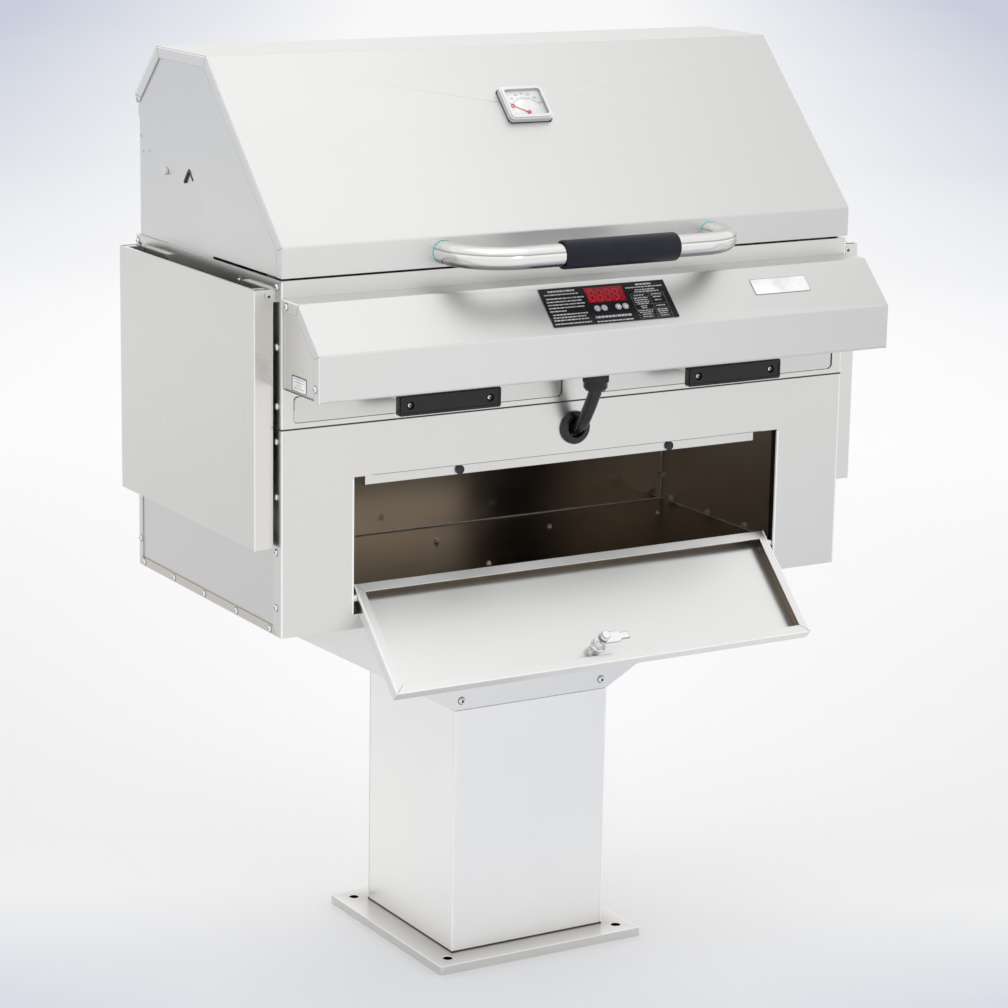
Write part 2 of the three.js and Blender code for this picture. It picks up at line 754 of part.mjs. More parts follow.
// The rail between the two drip trays, with a stop behind them
function makeCentreRail() {

	const y0 = front + sheet + seat;
	const y1 = back - sheet - seat;
	const flat = box( - runner.centre, runner.centre, y0, y1, runnerTop - sheet, runnerTop );
	const web = box( - sheet / 2, sheet / 2, y0, y1, runnerTop - sheet, runnerTop + runner.web );
	const stopY = trayRear + seat;
	const stop = box( - runner.centre, runner.centre, stopY, stopY + sheet, runnerTop - sheet,
		runnerTop + runner.stop );
	const foot = box( - runner.centre / 2, runner.centre / 2, y0, y1, cabinetTop + seat, runnerTop );
	const hollow = box( sheet - runner.centre / 2, runner.centre / 2 - sheet, y0 - overrun, y1 + overrun,
		cabinetTop + seat + sheet, runnerTop - sheet );
	piece( 'tray_centre_rail', join( [ flat, web, stop, cut( foot, [ hollow ] ) ] ), 'steel' );

}

function makeLiner() {

	const reach = linerX;
	const depth = - linerFront;
	const wall = liner.sheet;
	const flange = box( seat + sheet - skinInside, skinInside - sheet - seat, front + sheet + seat,
		back - sheet - seat, linerTop - wall, linerTop );
	const shell = box( - reach, reach, - depth, depth, linerBottom, linerTop );
	const well = box( wall - reach, reach - wall, wall - depth, depth - wall, linerBottom - overrun,
		linerTop + overrun );
	const ledges = [ liner.elementLedge, liner.grateLedge ].map( ( drop ) => bothEnds( box( wall - reach,
		reach - wall, - depth, wall - depth + liner.ledge, linerTop - drop - wall, linerTop - drop ) ) );
	const tails = element.pitch * ( element.legs - 1 ) / 2;
	const holes = bothEnds( pinX( tails, elementZ, element.radius + 2 * seat, - reach - overrun,
		reach + overrun, 10 ) );
	piece( 'firebox_liner', cut( join( [ cut( join( [ flange, shell ] ), [ well ] ), ...ledges ] ),
		[ holes ] ), 'darkSteel' );

}

const elementZ = linerTop - liner.elementLedge + seat + element.strapHeight;

// Each heating element: a tube in hairpins on two straps, its ends through the liner's side
function makeElements() {

	const far = linerX - liner.sheet - element.margin;
	const near = trayInner;
	const turn = element.pitch / 2;
	const legLength = element.pitch * ( element.legs - 1 ) / 2;
	const points = [ new THREE.Vector3( linerX + element.tail, - legLength, elementZ ) ];
	for ( let leg = 0; leg < element.legs - 1; leg ++ ) {

		const y = - legLength + element.pitch * leg + turn;
		if ( leg % 2 === 0 ) points.push( ...levelArc( near + turn, y, elementZ, turn, 1.5 * Math.PI,
			0.5 * Math.PI, 5 ) );
		else points.push( ...levelArc( far - turn, y, elementZ, turn, - 0.5 * Math.PI, 0.5 * Math.PI, 5 ) );

	}

	points.push( new THREE.Vector3( linerX + element.tail, legLength, elementZ ) );
	const tube = bar( points, element.radius, 6 );
	const strapBottom = linerTop - liner.elementLedge + seat;
	const reach = - linerFront - liner.sheet - seat;
	const straps = [ near + element.strapInset, far - element.strapInset ].map( ( x ) => box( x,
		x + element.strap, - reach, reach, strapBottom, strapBottom + element.strapHeight ) );
	pair( 'element', join( [ tube, ...straps ] ), 'darkSteel' );

}

// Each cooking grate: flat bars with slots between them, in a frame that rests on the liner's ledges
function makeGrates() {

	const x0 = grate.margin / 2;
	const x1 = linerX - liner.sheet - grate.margin;
	const y1 = - linerFront - liner.sheet - grate.margin;
	const z0 = linerTop - liner.grateLedge + seat;
	const shape = outline( [ [ x0, - y1 ], [ x1, - y1 ], [ x1, y1 ], [ x0, y1 ] ] );
	const room = x1 - x0 - 2 * grate.frame + grate.bar;
	const slots = Math.floor( room / ( grate.slot + grate.bar ) );
	const pitch = room / slots;
	for ( let i = 0; i < slots; i ++ ) {

		const from = x0 + grate.frame + pitch * i;
		const to = from + pitch - grate.bar;
		shape.holes.push( outline( [ [ from, grate.frame - y1 ], [ from, y1 - grate.frame ],
			[ to, y1 - grate.frame ], [ to, grate.frame - y1 ] ] ) );

	}

	pair( 'grate', alongZ( shape, z0, z0 + grate.thickness ), 'darkSteel' );

}

// Each drip tray: its front plate, its pan and the bracket that carries its pull
function makeTrays() {

	const x0 = trayInner + tray.inset;
	const x1 = trayOuter - tray.inset;
	const rear = trayRear;
	const plate = alongY( trayFace( 0 ), front, front + sheet );
	const outer = box( x0, x1, front + sheet / 2, rear, trayFloor, trayFloor + tray.wall );
	const inner = box( x0 + sheet, x1 - sheet, front + sheet, rear - sheet, trayFloor + sheet,
		trayFloor + tray.wall + overrun );
	const centre = ( trayInner + trayOuter ) / 2;
	const middle = trayBottom + pull.rise;
	const reach = front - pull.projection + pull.depth + seat;
	const half = strap.width / 2;
	const top = middle + pull.height / 2 - strap.drop;
	const loop = box( centre - half, centre + half, reach, front + sheet / 2, middle - strap.tab / 2, top );
	const gap = box( centre - half + sheet, centre + half - sheet, reach + sheet, front + overrun,
		middle - strap.tab, top + overrun );
	const under = box( centre - half - overrun, centre + half + overrun, reach + sheet, front + overrun,
		middle - strap.tab, top - strap.height );
	const pan = join( [ cut( join( [ plate, outer ] ), [ inner ] ), cut( loop, [ gap, under ] ) ] );
	pair( 'tray_pan', pan, 'steel' );

	const face = front - pull.projection;
	const edge = pull.corner / 2;
	const block = ( inset ) => roundedBox( centre - pull.width / 2 + inset, centre + pull.width / 2 - inset,
		middle - pull.height / 2 + inset, middle + pull.height / 2 - inset, pull.corner );
	const moulding = join( [ alongY( block( 0 ), face + edge, face + pull.depth ),
		alongY( block( edge ), face, face + pull.depth / 2 ) ] );
	const recesses = [ - 1, 1 ].map( ( end ) => pinY( centre + end * pull.screwSpacing / 2, middle,
		pull.recess, face - overrun, face + pull.sink, 14 ) );
	const dish = alongY( block( edge + pull.rim ), face - overrun, face + pull.dish );
	pair( 'tray_pull', cut( moulding, [ dish, ...recesses ] ), 'plastic' );

}

makeFireboxShell();
makeCentreRail();
makeLiner();
makeElements();
makeGrates();
makeTrays();

// Control console, drawn as a section of Y and Z that runs the width of the body
const consoleBox = { drop: 20.5, topDepth: 42.3, depth: 95.5, slopeDrop: 52.3, height: 108, sheet: 1.2,
	bend: 3 };
const consoleLap = { width: 15, inset: 0.6, bottomLip: 15, lipInset: 12 };
const panel = { width: 179, height: 56, thickness: 1.2, centre: 2.8, rise: 38.8, lap: 6 };
const display = { width: 54.5, height: 22, centre: 2.8, rise: 52.9, sink: 0.3 };
const button = { radius: 4.2, collar: 4.8, spacing: 10.2, pair: 30.4, centre: 2.7, rise: 32.1, proud: 0.9,
	collarHeight: 1, travel: 0.5 };
const board = { width: 150, height: 42, thickness: 1.6, setback: 14, post: 3, switchGap: 0.3 };
const gland = { setback: 46, hex: 18.5, hexHeight: 17, dome: 15, domeHeight: 12, thread: 12, nut: 16,
	nutHeight: 5 };
const cable = { radius: 8, above: 8 };
const consoleTop = fireboxTop - consoleBox.drop;
const consoleBottom = consoleTop - consoleBox.height;
const consoleSide = side - consoleLap.inset;
const consoleBack = front - seat;
const kink = [ front - consoleBox.depth, consoleTop - consoleBox.slopeDrop ];
const brow = [ front - consoleBox.topDepth, consoleTop ];
const slopeTurn = Math.atan2( brow[ 1 ] - kink[ 1 ], brow[ 0 ] - kink[ 0 ] );
const slopeLength = Math.hypot( brow[ 1 ] - kink[ 1 ], brow[ 0 ] - kink[ 0 ] );

// A group whose X runs along the console, Y up its slope and Z out of it, from the fold below
function consoleSlope() {

	const group = new THREE.Group();
	group.position.set( 0, kink[ 0 ], kink[ 1 ] );
	group.rotation.x = slopeTurn;
	grill.add( group );
	return group;

}

function onSlope( solid ) {

	return solid.rotate( [ THREE.MathUtils.radToDeg( slopeTurn ), 0, 0 ] ).translate( [ 0, ...kink ] );

}

// The section of the cover: over the top, down the slope and the front, and in under the pan
function consolePath() {

	const corner = [ kink[ 0 ], consoleBottom ];
	const lip = [ kink[ 0 ] + consoleLap.bottomLip, consoleBottom ];
	return [ [ consoleBack, consoleTop ], brow, kink, corner, lip ];

}

function makeConsoleCover() {

	const path = consolePath();
	const skin = alongX( folded( path, consoleBox.sheet, consoleBox.bend ), - consoleSide, consoleSide );
	const lap = alongX( folded( path.slice( 0, 4 ), consoleLap.width ), consoleSide - consoleBox.sheet,
		consoleSide );
	const clear = box( consoleSide - consoleLap.lipInset, consoleSide + overrun,
		kink[ 0 ] + consoleBox.sheet + consoleBox.bend,
		consoleBack, consoleBottom - overrun, consoleBottom + consoleBox.sheet );
	const window = onSlope( box( display.centre - panel.width / 2 + panel.lap,
		display.centre + panel.width / 2 - panel.lap,
		panel.rise - board.height / 2, panel.rise + board.height / 2 + board.post * 2, - overrun, overrun ) );
	piece( 'console_cover', cut( join( [ skin, bothSides( lap ) ] ), [ bothSides( clear ), window ] ),
		'steel' );

}

// The console's bottom, with its ends folded up behind the cover's laps
function makeConsolePan() {

	const gap = consoleBox.sheet + seat;
	const reach = consoleSide - gap;
	const floor = consoleBottom + gap;
	const inner = offsetPath( softened( consolePath(), consoleBox.bend ), gap );
	const end = new THREE.Shape( [ ...inner, new THREE.Vector2( consoleBack, floor ) ] );
	const ends = bothSides( alongX( end, reach - consoleBox.sheet, reach ) );
	const bottom = box( - reach, reach, kink[ 0 ] + gap + consoleBox.bend, consoleBack, floor,
		floor + consoleBox.sheet );
	const hole = alongZ( disc( 0, front - gland.setback, gland.thread + seat, 20 ), floor - overrun,
		floor + overrun );
	piece( 'console_pan', cut( join( [ bottom, ends ] ), [ hole ] ), 'steel' );

}

function buttonPlaces() {

	const inner = ( button.pair - button.spacing ) / 2;
	const outer = ( button.pair + button.spacing ) / 2;
	return [ - outer, - inner, inner, outer ].map( ( offset ) => button.centre + offset );

}

function makeControls( slope ) {

	const top = seat + panel.thickness;
	const places = buttonPlaces();
	const face = box( panel.centre - panel.width / 2, panel.centre + panel.width / 2,
		panel.rise - panel.height / 2, panel.rise + panel.height / 2, seat, top );
	const glass = box( display.centre - display.width / 2, display.centre + display.width / 2,
		display.rise - display.height / 2, display.rise + display.height / 2, - overrun, top + overrun );
	const holes = places.map( ( x ) => alongZ( disc( x, button.rise, button.radius + seat, 16 ), - overrun,
		top + overrun ) );
	piece( 'control_overlay', cut( face, [ glass, ...holes ] ), 'overlay', slope );

	const plateTop = - board.setback;
	const plate = box( panel.centre - board.width / 2, panel.centre + board.width / 2,
		panel.rise - board.height / 2,
		panel.rise + board.height / 2, plateTop - board.thickness, plateTop );
	const lamp = box( display.centre - display.width / 2 + seat, display.centre + display.width / 2 - seat,
		display.rise - display.height / 2 + seat, display.rise + display.height / 2 - seat,
		plateTop - board.thickness, top - display.sink );
	const switchTop = - button.collarHeight - button.travel - board.switchGap;
	const switches = places.map( ( x ) => alongZ( disc( x, button.rise, board.post, 8 ),
		plateTop - board.thickness, switchTop ) );
	const postReach = board.width / 2 - board.post;
	const postRise = panel.rise - board.height / 2 + 2 * board.post;
	const posts = [ - postReach, postReach ].map( ( x ) => alongZ( disc( panel.centre + x, postRise,
		board.post, 8 ), plateTop - board.thickness, 0 ) );
	piece( 'display_board', join( [ plate, lamp, ...switches, ...posts ] ), 'red', slope );

	places.forEach( ( x, i ) => {

		const cap = alongZ( disc( x, button.rise, button.radius, 16 ), - button.collarHeight,
			top + button.proud );
		const rim = alongZ( disc( x, button.rise, button.collar, 16 ), - button.collarHeight, 0 );
		piece( `button_${ i + 1 }`, join( [ cap, rim ] ), 'button', slope );

	} );

}

// The gland under the console and the supply cable from it, through the grommet, to the junction box
function makeSupply() {

	const y = front - gland.setback;
	const panBottom = consoleBottom + consoleBox.sheet + seat;
	const panTop = panBottom + consoleBox.sheet;
	const hexTop = panBottom - seat;
	const hexBottom = hexTop - gland.hexHeight;
	const domeEnd = hexBottom - gland.domeHeight;
	const bore = cable.radius + 2 * seat;
	const lower = turned( [ [ 0, domeEnd ], [ gland.thread, domeEnd ],
		[ gland.dome, domeEnd + gland.domeHeight / 3 ],
		[ gland.dome, hexBottom + seat ], [ 0, hexBottom + seat ] ], 24 ).translate( [ 0, y, 0 ] );
	const hex = alongZ( disc( 0, y, gland.hex, 6 ), hexBottom, hexTop );
	const thread = alongZ( disc( 0, y, gland.thread, 20 ), hexTop, panTop + seat + gland.nutHeight + seat );
	const lock = alongZ( disc( 0, y, gland.nut, 6 ), panTop + seat, panTop + seat + gland.nutHeight );
	const hole = alongZ( disc( 0, y, bore, 16 ), domeEnd - overrun, panTop + gland.nutHeight + overrun );
	piece( 'cable_gland', cut( join( [ lower, hex, thread, lock ] ), [ hole ] ), 'plastic' );

	const start = panTop + gland.nutHeight + cable.above;
	const bend = new THREE.CatmullRomCurve3( cableRoute( y, domeEnd, start ), false, 'centripetal' );
	piece( 'power_cable', bar( bend.getSpacedPoints( 24 ), cable.radius, 10 ), 'rubber' );

}

// The cable's bend between gland and grommet, chosen by hand as shares of its way in and down
const cableBendShares = [ [ 0.06, 0.12 ], [ 0.28, 0.44 ], [ 0.56, 0.78 ], [ 0.84, 0.97 ] ];

// The cable's route: down from the gland and in through the grommet
function cableRoute( y, glandEnd, start ) {

	const wall = front + junction.setback - seat;
	const reach = front - y;
	const fall = grommetHeight - glandEnd;
	const bend = cableBendShares.map( ( [ a, b ] ) => [ y + reach * a, glandEnd + fall * b ] );
	const route = [ [ y, start ], [ y, ( start + glandEnd ) / 2 ], [ y, glandEnd ], ...bend,
		[ front, grommetHeight ], [ wall, grommetHeight ] ];
	return route.map( ( place ) => new THREE.Vector3( 0, ...place ) );

}

const slopeGroup = consoleSlope();
makeConsoleCover();
makeConsolePan();
makeControls( slopeGroup );
makeSupply();

// Hood and the fixed housing behind it
const hood = { lift: 3, face: 2, band: 36.8, height: 239.5, slopeRun: 202.6, backFall: 65, rearLip: 10.9,
	rearTuck: 4.8, rearInset: 0.9, lap: 14, hem: 12, bend: 4, inset: 0.6 };
const hoodHinge = { fromBack: 89.4, rise: 90.6, pin: 3, head: 5, headHeight: 4, nutHeight: 4 };
const housing = { setback: 6.9, height: 157.6, crown: 18, lead: 128.4, radius: 109, foot: 12 };
const housingCrownShares = [ [ 0.42, 0.9 ], [ 0, 1 ], [ - 0.45, 0.8 ] ]; // round the hinge, of the radius
const pad = { from: 17, length: 20, width: 6 };
const handle = { spacing: 384, radius: 14, projection: 80, bend: 64 };
const grip = { from: - 75, to: 86, radius: 17.6, bore: 14.7 };
const gauge = { width: 62.4, height: 52.2, depth: 10, offset: - 2.5, rise: 188.3, windowWidth: 51,
	windowHeight: 40, corner: 6, wall: 3.5, dialSink: 5, dial: 1.5, stem: 4.5, stemLength: 48, pivotDrop: 14.1 };
const needle = { hub: 2.6, arm: 0.8, length: 22, ring: 3, ringHole: 1.7, thickness: 0.8, rest: 150 };
const hoodSide = side + hood.inset;
const hoodBottom = fireboxTop + hood.lift;
const hoodFace = front - hood.face;
const hingeY = back - hoodHinge.fromBack;
const hingeZ = fireboxTop + hoodHinge.rise;

// The hood's outer section of Y and Z, from its rear lip over the top to its front edge
function hoodPath() {

	const top = hoodBottom + hood.height;
	const brink = hoodFace + hood.slopeRun;
	const rear = back - hood.rearInset;
	const ridge = rear - hood.backFall;
	const eave = top - hood.backFall;
	return [ [ rear - hood.rearTuck, eave - hood.rearLip ], [ rear, eave ], [ ridge, top ], [ brink, top ],
		[ hoodFace, hoodBottom + hood.band ], [ hoodFace, hoodBottom ] ];

}

function gaugePlace() {

	const [ , , , brink, fold ] = hoodPath();
	return { y: fold[ 0 ], z: fold[ 1 ], turn: Math.atan2( brink[ 1 ] - fold[ 1 ], brink[ 0 ] - fold[ 0 ] ) };

}

function makeHoodWrap() {

	const path = hoodPath();
	const skin = alongX( folded( path, sheet, hood.bend ), - hoodSide, hoodSide );
	const laps = bothSides( alongX( folded( path.slice( 1 ), hood.lap, 0 ), hoodSide - sheet, hoodSide ) );
	const hemHalf = hoodSide - 2 * ( sheet + seat );
	const hem = box( - hemHalf, hemHalf, hoodFace + sheet / 2, hoodFace + hood.hem, hoodBottom,
		hoodBottom + sheet );
	const place = gaugePlace();
	const stemHole = alongZ( disc( gauge.offset, gauge.rise, gauge.stem + seat, 16 ), - overrun * 2,
		overrun )
		.rotate( [ THREE.MathUtils.radToDeg( place.turn ), 0, 0 ] ).translate( [ 0, place.y, place.z ] );
	piece( 'hood_wrap', cut( join( [ skin, hem, laps ] ), [ stemHole ] ), 'steel' );

}

// The cut at the rear of an end plate, as shares of the way from the hood's front and bottom to its hinge
const rearCutShares = [ [ 0.614, 0 ], [ 0.644, 0.024 ], [ 0.667, 0.106 ], [ 0.673, 0.214 ],
	[ 0.673, 0.718 ], [ 0.721, 0.869 ], [ 0.751, 0.934 ], [ 0.762, 0.967 ], [ 0.796, 1.097 ],
	[ 0.841, 0.905 ], [ 1.016, 0.894 ], [ 1.062, 0.979 ], [ 1.182, 1.419 ], [ 1.261, 1.694 ] ];

function makeHoodEnds() {

	const inner = offsetPath( softened( hoodPath(), hood.bend ), sheet + seat );
	const run = hingeY - hoodFace;
	const rise = hingeZ - hoodBottom;
	const rearCut = rearCutShares.map( ( [ a, b ] ) => new THREE.Vector2( hoodFace + run * a,
		hoodBottom + rise * b ) );
	const x1 = hoodSide - sheet - seat;
	const plate = alongX( new THREE.Shape( [ ...inner, ...rearCut ] ), x1 - sheet, x1 );
	const hole = pinX( hingeY, hingeZ, hoodHinge.pin + seat, x1 - sheet - overrun, x1 + overrun );
	pair( 'hood_end', cut( plate, [ hole ] ), 'steel' );

}

// The housing fixed on the firebox: a back and two sides that the hood turns round
function makeHoodHousing() {

	const x1 = hoodSide - 2 * ( sheet + seat );
	const rear = back - housing.setback;
	const z0 = fireboxTop + seat;
	const z1 = z0 + housing.height;
	const lead = hingeY - housing.lead;
	const crown = housingCrownShares.map( ( [ a, b ] ) => [ hingeY + housing.radius * a,
		hingeZ + housing.radius * b ] );
	const wall = outline( [ [ lead, z0 ], [ rear, z0 ], [ rear, z1 ],
		[ rear - housing.crown, z1 + housing.crown ], ...crown, [ lead, hingeZ ] ] );
	const sides = bothSides( alongX( wall, x1 - sheet, x1 ) );
	const rearSkin = alongX( folded( [ [ rear, z0 ], [ rear, z1 ],
		[ rear - housing.crown, z1 + housing.crown ] ], sheet, 0 ), - x1, x1 );
	const feet = bothSides( box( x1 - housing.foot, x1, lead, rear, z0, z0 + sheet ) );
	const holes = pinX( hingeY, hingeZ, hoodHinge.pin + seat, - x1 - overrun, x1 + overrun );
	piece( 'hood_housing', cut( join( [ sides, rearSkin, feet ] ), [ holes ] ), 'steel' );

	const head0 = hoodSide - sheet;
	const inside = x1 - sheet - seat;
	const head = pinX( hingeY, hingeZ, hoodHinge.head, head0, head0 + hoodHinge.headHeight, 14 );
	const shank = pinX( hingeY, hingeZ, hoodHinge.pin, inside, head0 );
	const nut = pinX( hingeY, hingeZ, hoodHinge.head, inside - hoodHinge.nutHeight, inside, 6 );
	pair( 'hinge_bolt', join( [ head, shank, nut ] ), 'brightSteel' );

}

function makeHoodPads() {

	const block = box( side - pad.width, side, front + pad.from, front + pad.from + pad.length,
		fireboxTop + seat, hoodBottom - seat );
	pair( 'hood_pad', block, 'rubber' );

}

function makeHandle() {

	const z = hoodBottom + hood.band / 2 - seat;
	const x = handle.spacing / 2;
	const root = hoodFace - seat;
	const y = hoodFace - handle.projection;
	const right = levelArc( x - handle.bend, y + handle.bend, z, handle.bend, 0, - 0.5 * Math.PI, 7 );
	const left = levelArc( handle.bend - x, y + handle.bend, z, handle.bend, - 0.5 * Math.PI, - Math.PI, 7 );
	const path = [ new THREE.Vector3( x, root, z ), ...right, ...left, new THREE.Vector3( - x, root, z ) ];
	piece( 'hood_handle', bar( path, handle.radius, 14 ), 'brightSteel' );
	const sleeve = disc( y, z, grip.radius, 20 );
	sleeve.holes.push( disc( y, z, grip.bore, 20 ) );
	piece( 'handle_grip', alongX( sleeve, grip.from, grip.to ), 'grip' );

}

function makeGauge() {

	const place = gaugePlace();
	const slope = new THREE.Group();
	slope.position.set( gauge.offset, place.y, place.z );
	slope.rotation.x = place.turn;
	grill.add( slope );
	const half = { x: gauge.width / 2, y: gauge.height / 2 };
	const rect = ( inset, radius ) => roundedBox( inset - half.x, half.x - inset, gauge.rise - half.y + inset,
		gauge.rise + half.y - inset, radius );
	const step = gauge.wall / 2;
	const block = join( [ alongZ( rect( 0, gauge.corner ), seat, gauge.depth - step ),
		alongZ( rect( step, gauge.corner ), seat, gauge.depth ) ] );
	const view = { x: gauge.windowWidth / 2, y: gauge.windowHeight / 2 };
	const window = alongZ( roundedBox( - view.x, view.x, gauge.rise - view.y, gauge.rise + view.y,
		gauge.corner / 2 ), - overrun, gauge.depth + overrun );
	const bed = alongZ( rect( gauge.wall, gauge.corner / 2 ), - overrun, gauge.depth - gauge.dialSink + seat );
	piece( 'gauge_bezel', cut( block, [ window, bed ] ), 'brightSteel', slope );

	const dialTop = gauge.depth - gauge.dialSink;
	const plate = alongZ( rect( gauge.wall + seat, gauge.corner / 2 ), dialTop - gauge.dial, dialTop );
	const stem = alongZ( disc( 0, gauge.rise, gauge.stem, 12 ), - gauge.stemLength, dialTop - gauge.dial / 2 );
	piece( 'gauge_dial', join( [ plate, stem ] ), 'dial', slope );

	const pivotY = gauge.rise - gauge.pivotDrop;
	const z0 = dialTop + seat;
	const z1 = z0 + needle.thickness;
	const eye = disc( needle.length, 0, needle.ring, 14 );
	eye.holes.push( disc( needle.length, 0, needle.ringHole, 10 ) );
	const arm = box( 0, needle.length - needle.ring + needle.arm / 2, - needle.arm / 2, needle.arm / 2, z0,
		z1 );
	const pointer = join( [ alongZ( disc( 0, 0, needle.hub, 14 ), z0, z1 + needle.thickness ), arm,
		alongZ( eye, z0, z1 ) ] );
	piece( 'gauge_needle', pointer.rotate( [ 0, 0, needle.rest ] ).translate( [ 0, pivotY, 0 ] ), 'red',
		slope );

}

makeHoodWrap();
makeHoodEnds();
makeHoodHousing();
makeHoodPads();
makeHandle();
makeGauge();

function makeShelves() {

	const bottom = shelfTop - shelf.height;
	const rear = - shelfFront;
	const sheet = shelf.sheet;
	const shell = box( shelfInner, shelfOuter, shelfFront, rear, bottom, shelfTop );
	const hollow = box( shelfInner - overrun, shelfOuter - sheet, shelfFront + sheet, rear - sheet,
		bottom + sheet, shelfTop - sheet );
	const notchEnd = tabFront + bracket.sheet + shelf.notch;
	const topCut = ( x1, y0 ) => box( shelfInner - overrun, x1, y0, - y0, shelfTop - overrun,
		shelfTop + overrun );
	const lip = topCut( shelfInner + shelf.lipInset, shelfFront + sheet );
	const slot = topCut( shelfOuter - shelf.hem, notchEnd + shelf.tab );
	const notches = cut( topCut( shelfOuter - sheet, shelfFront + sheet ), [ topCut( side * 2, notchEnd ) ] );
	const holes = pinY( pivotX, pivotZ, shelfPivot.radius + seat, shelfFront - overrun, rear + overrun );
	pair( 'shelf', cut( shell, [ hollow, lip, slot, notches, holes ] ), 'steel' );

}

makeShelves();

export default grill;
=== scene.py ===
# Looks of the pedestal electric barbecue grill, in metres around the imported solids
import bpy
import bmesh
import math
import random
from mathutils import Matrix, Vector


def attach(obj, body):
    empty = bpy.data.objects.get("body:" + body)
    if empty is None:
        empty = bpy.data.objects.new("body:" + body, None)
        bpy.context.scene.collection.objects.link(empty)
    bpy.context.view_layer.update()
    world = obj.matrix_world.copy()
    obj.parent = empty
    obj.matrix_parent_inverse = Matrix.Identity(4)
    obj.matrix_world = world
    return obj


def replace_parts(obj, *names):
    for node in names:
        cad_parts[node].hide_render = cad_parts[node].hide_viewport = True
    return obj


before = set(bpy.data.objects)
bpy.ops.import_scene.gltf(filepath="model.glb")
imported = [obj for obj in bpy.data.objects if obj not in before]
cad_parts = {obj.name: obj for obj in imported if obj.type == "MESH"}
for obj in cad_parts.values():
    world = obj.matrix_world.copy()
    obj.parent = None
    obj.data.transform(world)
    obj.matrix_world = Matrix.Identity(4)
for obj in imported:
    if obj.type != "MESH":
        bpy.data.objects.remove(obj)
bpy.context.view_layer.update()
random.seed(7)
mm = 0.001

# Sizes of the solids that the added pieces sit on
body = dict(underside=495, side=406.4, front=-203.2, back=203.2, floor=496.5, wall=403.1)
console = dict(side=405.8, kink=(-298.7, 853.6), brow=(-245.5, 905.9), bottom=797.9, lap=15)
hood = dict(side=407, face=-205.2, bottom=929.4, fold=966.2, top=1168.9, slopeRun=202.6, topRun=139.9,
            backFall=65, lip=10.9, tuck=4.8, lap=14)
door = dict(half=302.2, bottom=517, length=156, face=-202.4, thickness=14.5, lip=11.5, rise=14.3,
            angle=math.radians(134.066))


# A socket that can be added, multiplied and so on
class Wire:
    def __init__(self, graph, socket):
        self.graph, self.socket = graph, socket

    def math(self, operation, *others):
        return self.graph.math(operation, self, *others)

    def __add__(self, other):
        return self.math("ADD", other)

    def __radd__(self, other):
        return self.graph.math("ADD", other, self)

    def __sub__(self, other):
        return self.math("SUBTRACT", other)

    def __rsub__(self, other):
        return self.graph.math("SUBTRACT", other, self)

    def __mul__(self, other):
        return self.math("MULTIPLY", other)

    def __rmul__(self, other):
        return self.graph.math("MULTIPLY", other, self)

    def __pow__(self, other):
        return self.math("POWER", other)


# The nodes of one material
class Graph:
    def __init__(self, name):
        self.material = bpy.data.materials.new(name)
        self.material.use_nodes = True
        self.tree = self.material.node_tree
        self.shader = self.tree.nodes["Principled BSDF"]
        self.output = self.tree.nodes["Material Output"]

    def feed(self, socket, value):
        if isinstance(value, Wire):
            self.tree.links.new(value.socket, socket)
        elif isinstance(value, (tuple, list)) and len(value) < len(socket.default_value):
            socket.default_value = (*value, 1)
        else:
            socket.default_value = value

    def make(self, kind, out=0, settings={}, stops=(), **inputs):
        node = self.tree.nodes.new("ShaderNode" + kind)
        for name, value in settings.items():
            setattr(node, name, value)
        while stops and len(node.color_ramp.elements) < len(stops):
            node.color_ramp.elements.new(0.5)
        for i, (place, tone) in enumerate(stops):
            element = node.color_ramp.elements[i]
            element.position, element.color = place, (*tone, 1)
        for name, value in inputs.items():
            place = int(name[1:]) if name[0] == "_" else name.replace("_", " ")
            self.feed(node.inputs[place], value)
        wires = [Wire(self, socket) for socket in node.outputs]
        return wires if out == "all" else Wire(self, node.outputs[out])

    def math(self, operation, *values):
        inputs = {f"_{i}": value for i, value in enumerate(values)}
        return self.make("Math", settings=dict(operation=operation), **inputs)

    def mix(self, share, a, b, way="MIX"):
        return self.make("Mix", out=2, settings=dict(data_type="RGBA", blend_type=way), _0=share, _6=a, _7=b)

    def place(self):
        return self.make("TexCoord", out="Object")

    def stretched(self, x, y, z):
        return self.make("Mapping", Vector=self.place(), Scale=(x, y, z))

    def parts(self, vector):
        return self.make("SeparateXYZ", out="all", _0=vector)

    def noise(self, vector, scale, detail=3.0, roughness=0.5):
        return self.make("TexNoise", Vector=vector, Scale=scale, Detail=detail, Roughness=roughness)

    def span(self, value, low, high, to0=0.0, to1=1.0):
        return self.make("MapRange", settings=dict(clamp=True), _0=value, _1=low, _2=high, _3=to0, _4=to1)

    def bump(self, height, strength, distance):
        return self.make("Bump", Height=height, Strength=strength, Distance=distance)

    def done(self, **inputs):
        for name, value in inputs.items():
            self.feed(self.shader.inputs[name.replace("_", " ")], value)
        return self.material


# A tone made lighter or darker
def scaled(tone, by):
    return tuple(min(1, c * by) for c in tone)


# 1 inside a box of two corners, 0 outside it
def within(g, parts, low, high, soft):
    inside = None
    for part, a, b in zip(parts, low, high):
        for edge, sign in ((a, 1), (b, -1)):
            ends = (0.0, 1.0) if sign > 0 else (1.0, 0.0)
            near = g.span(part, edge - soft, edge + soft, *ends)
            inside = near if inside is None else inside * near
    return inside


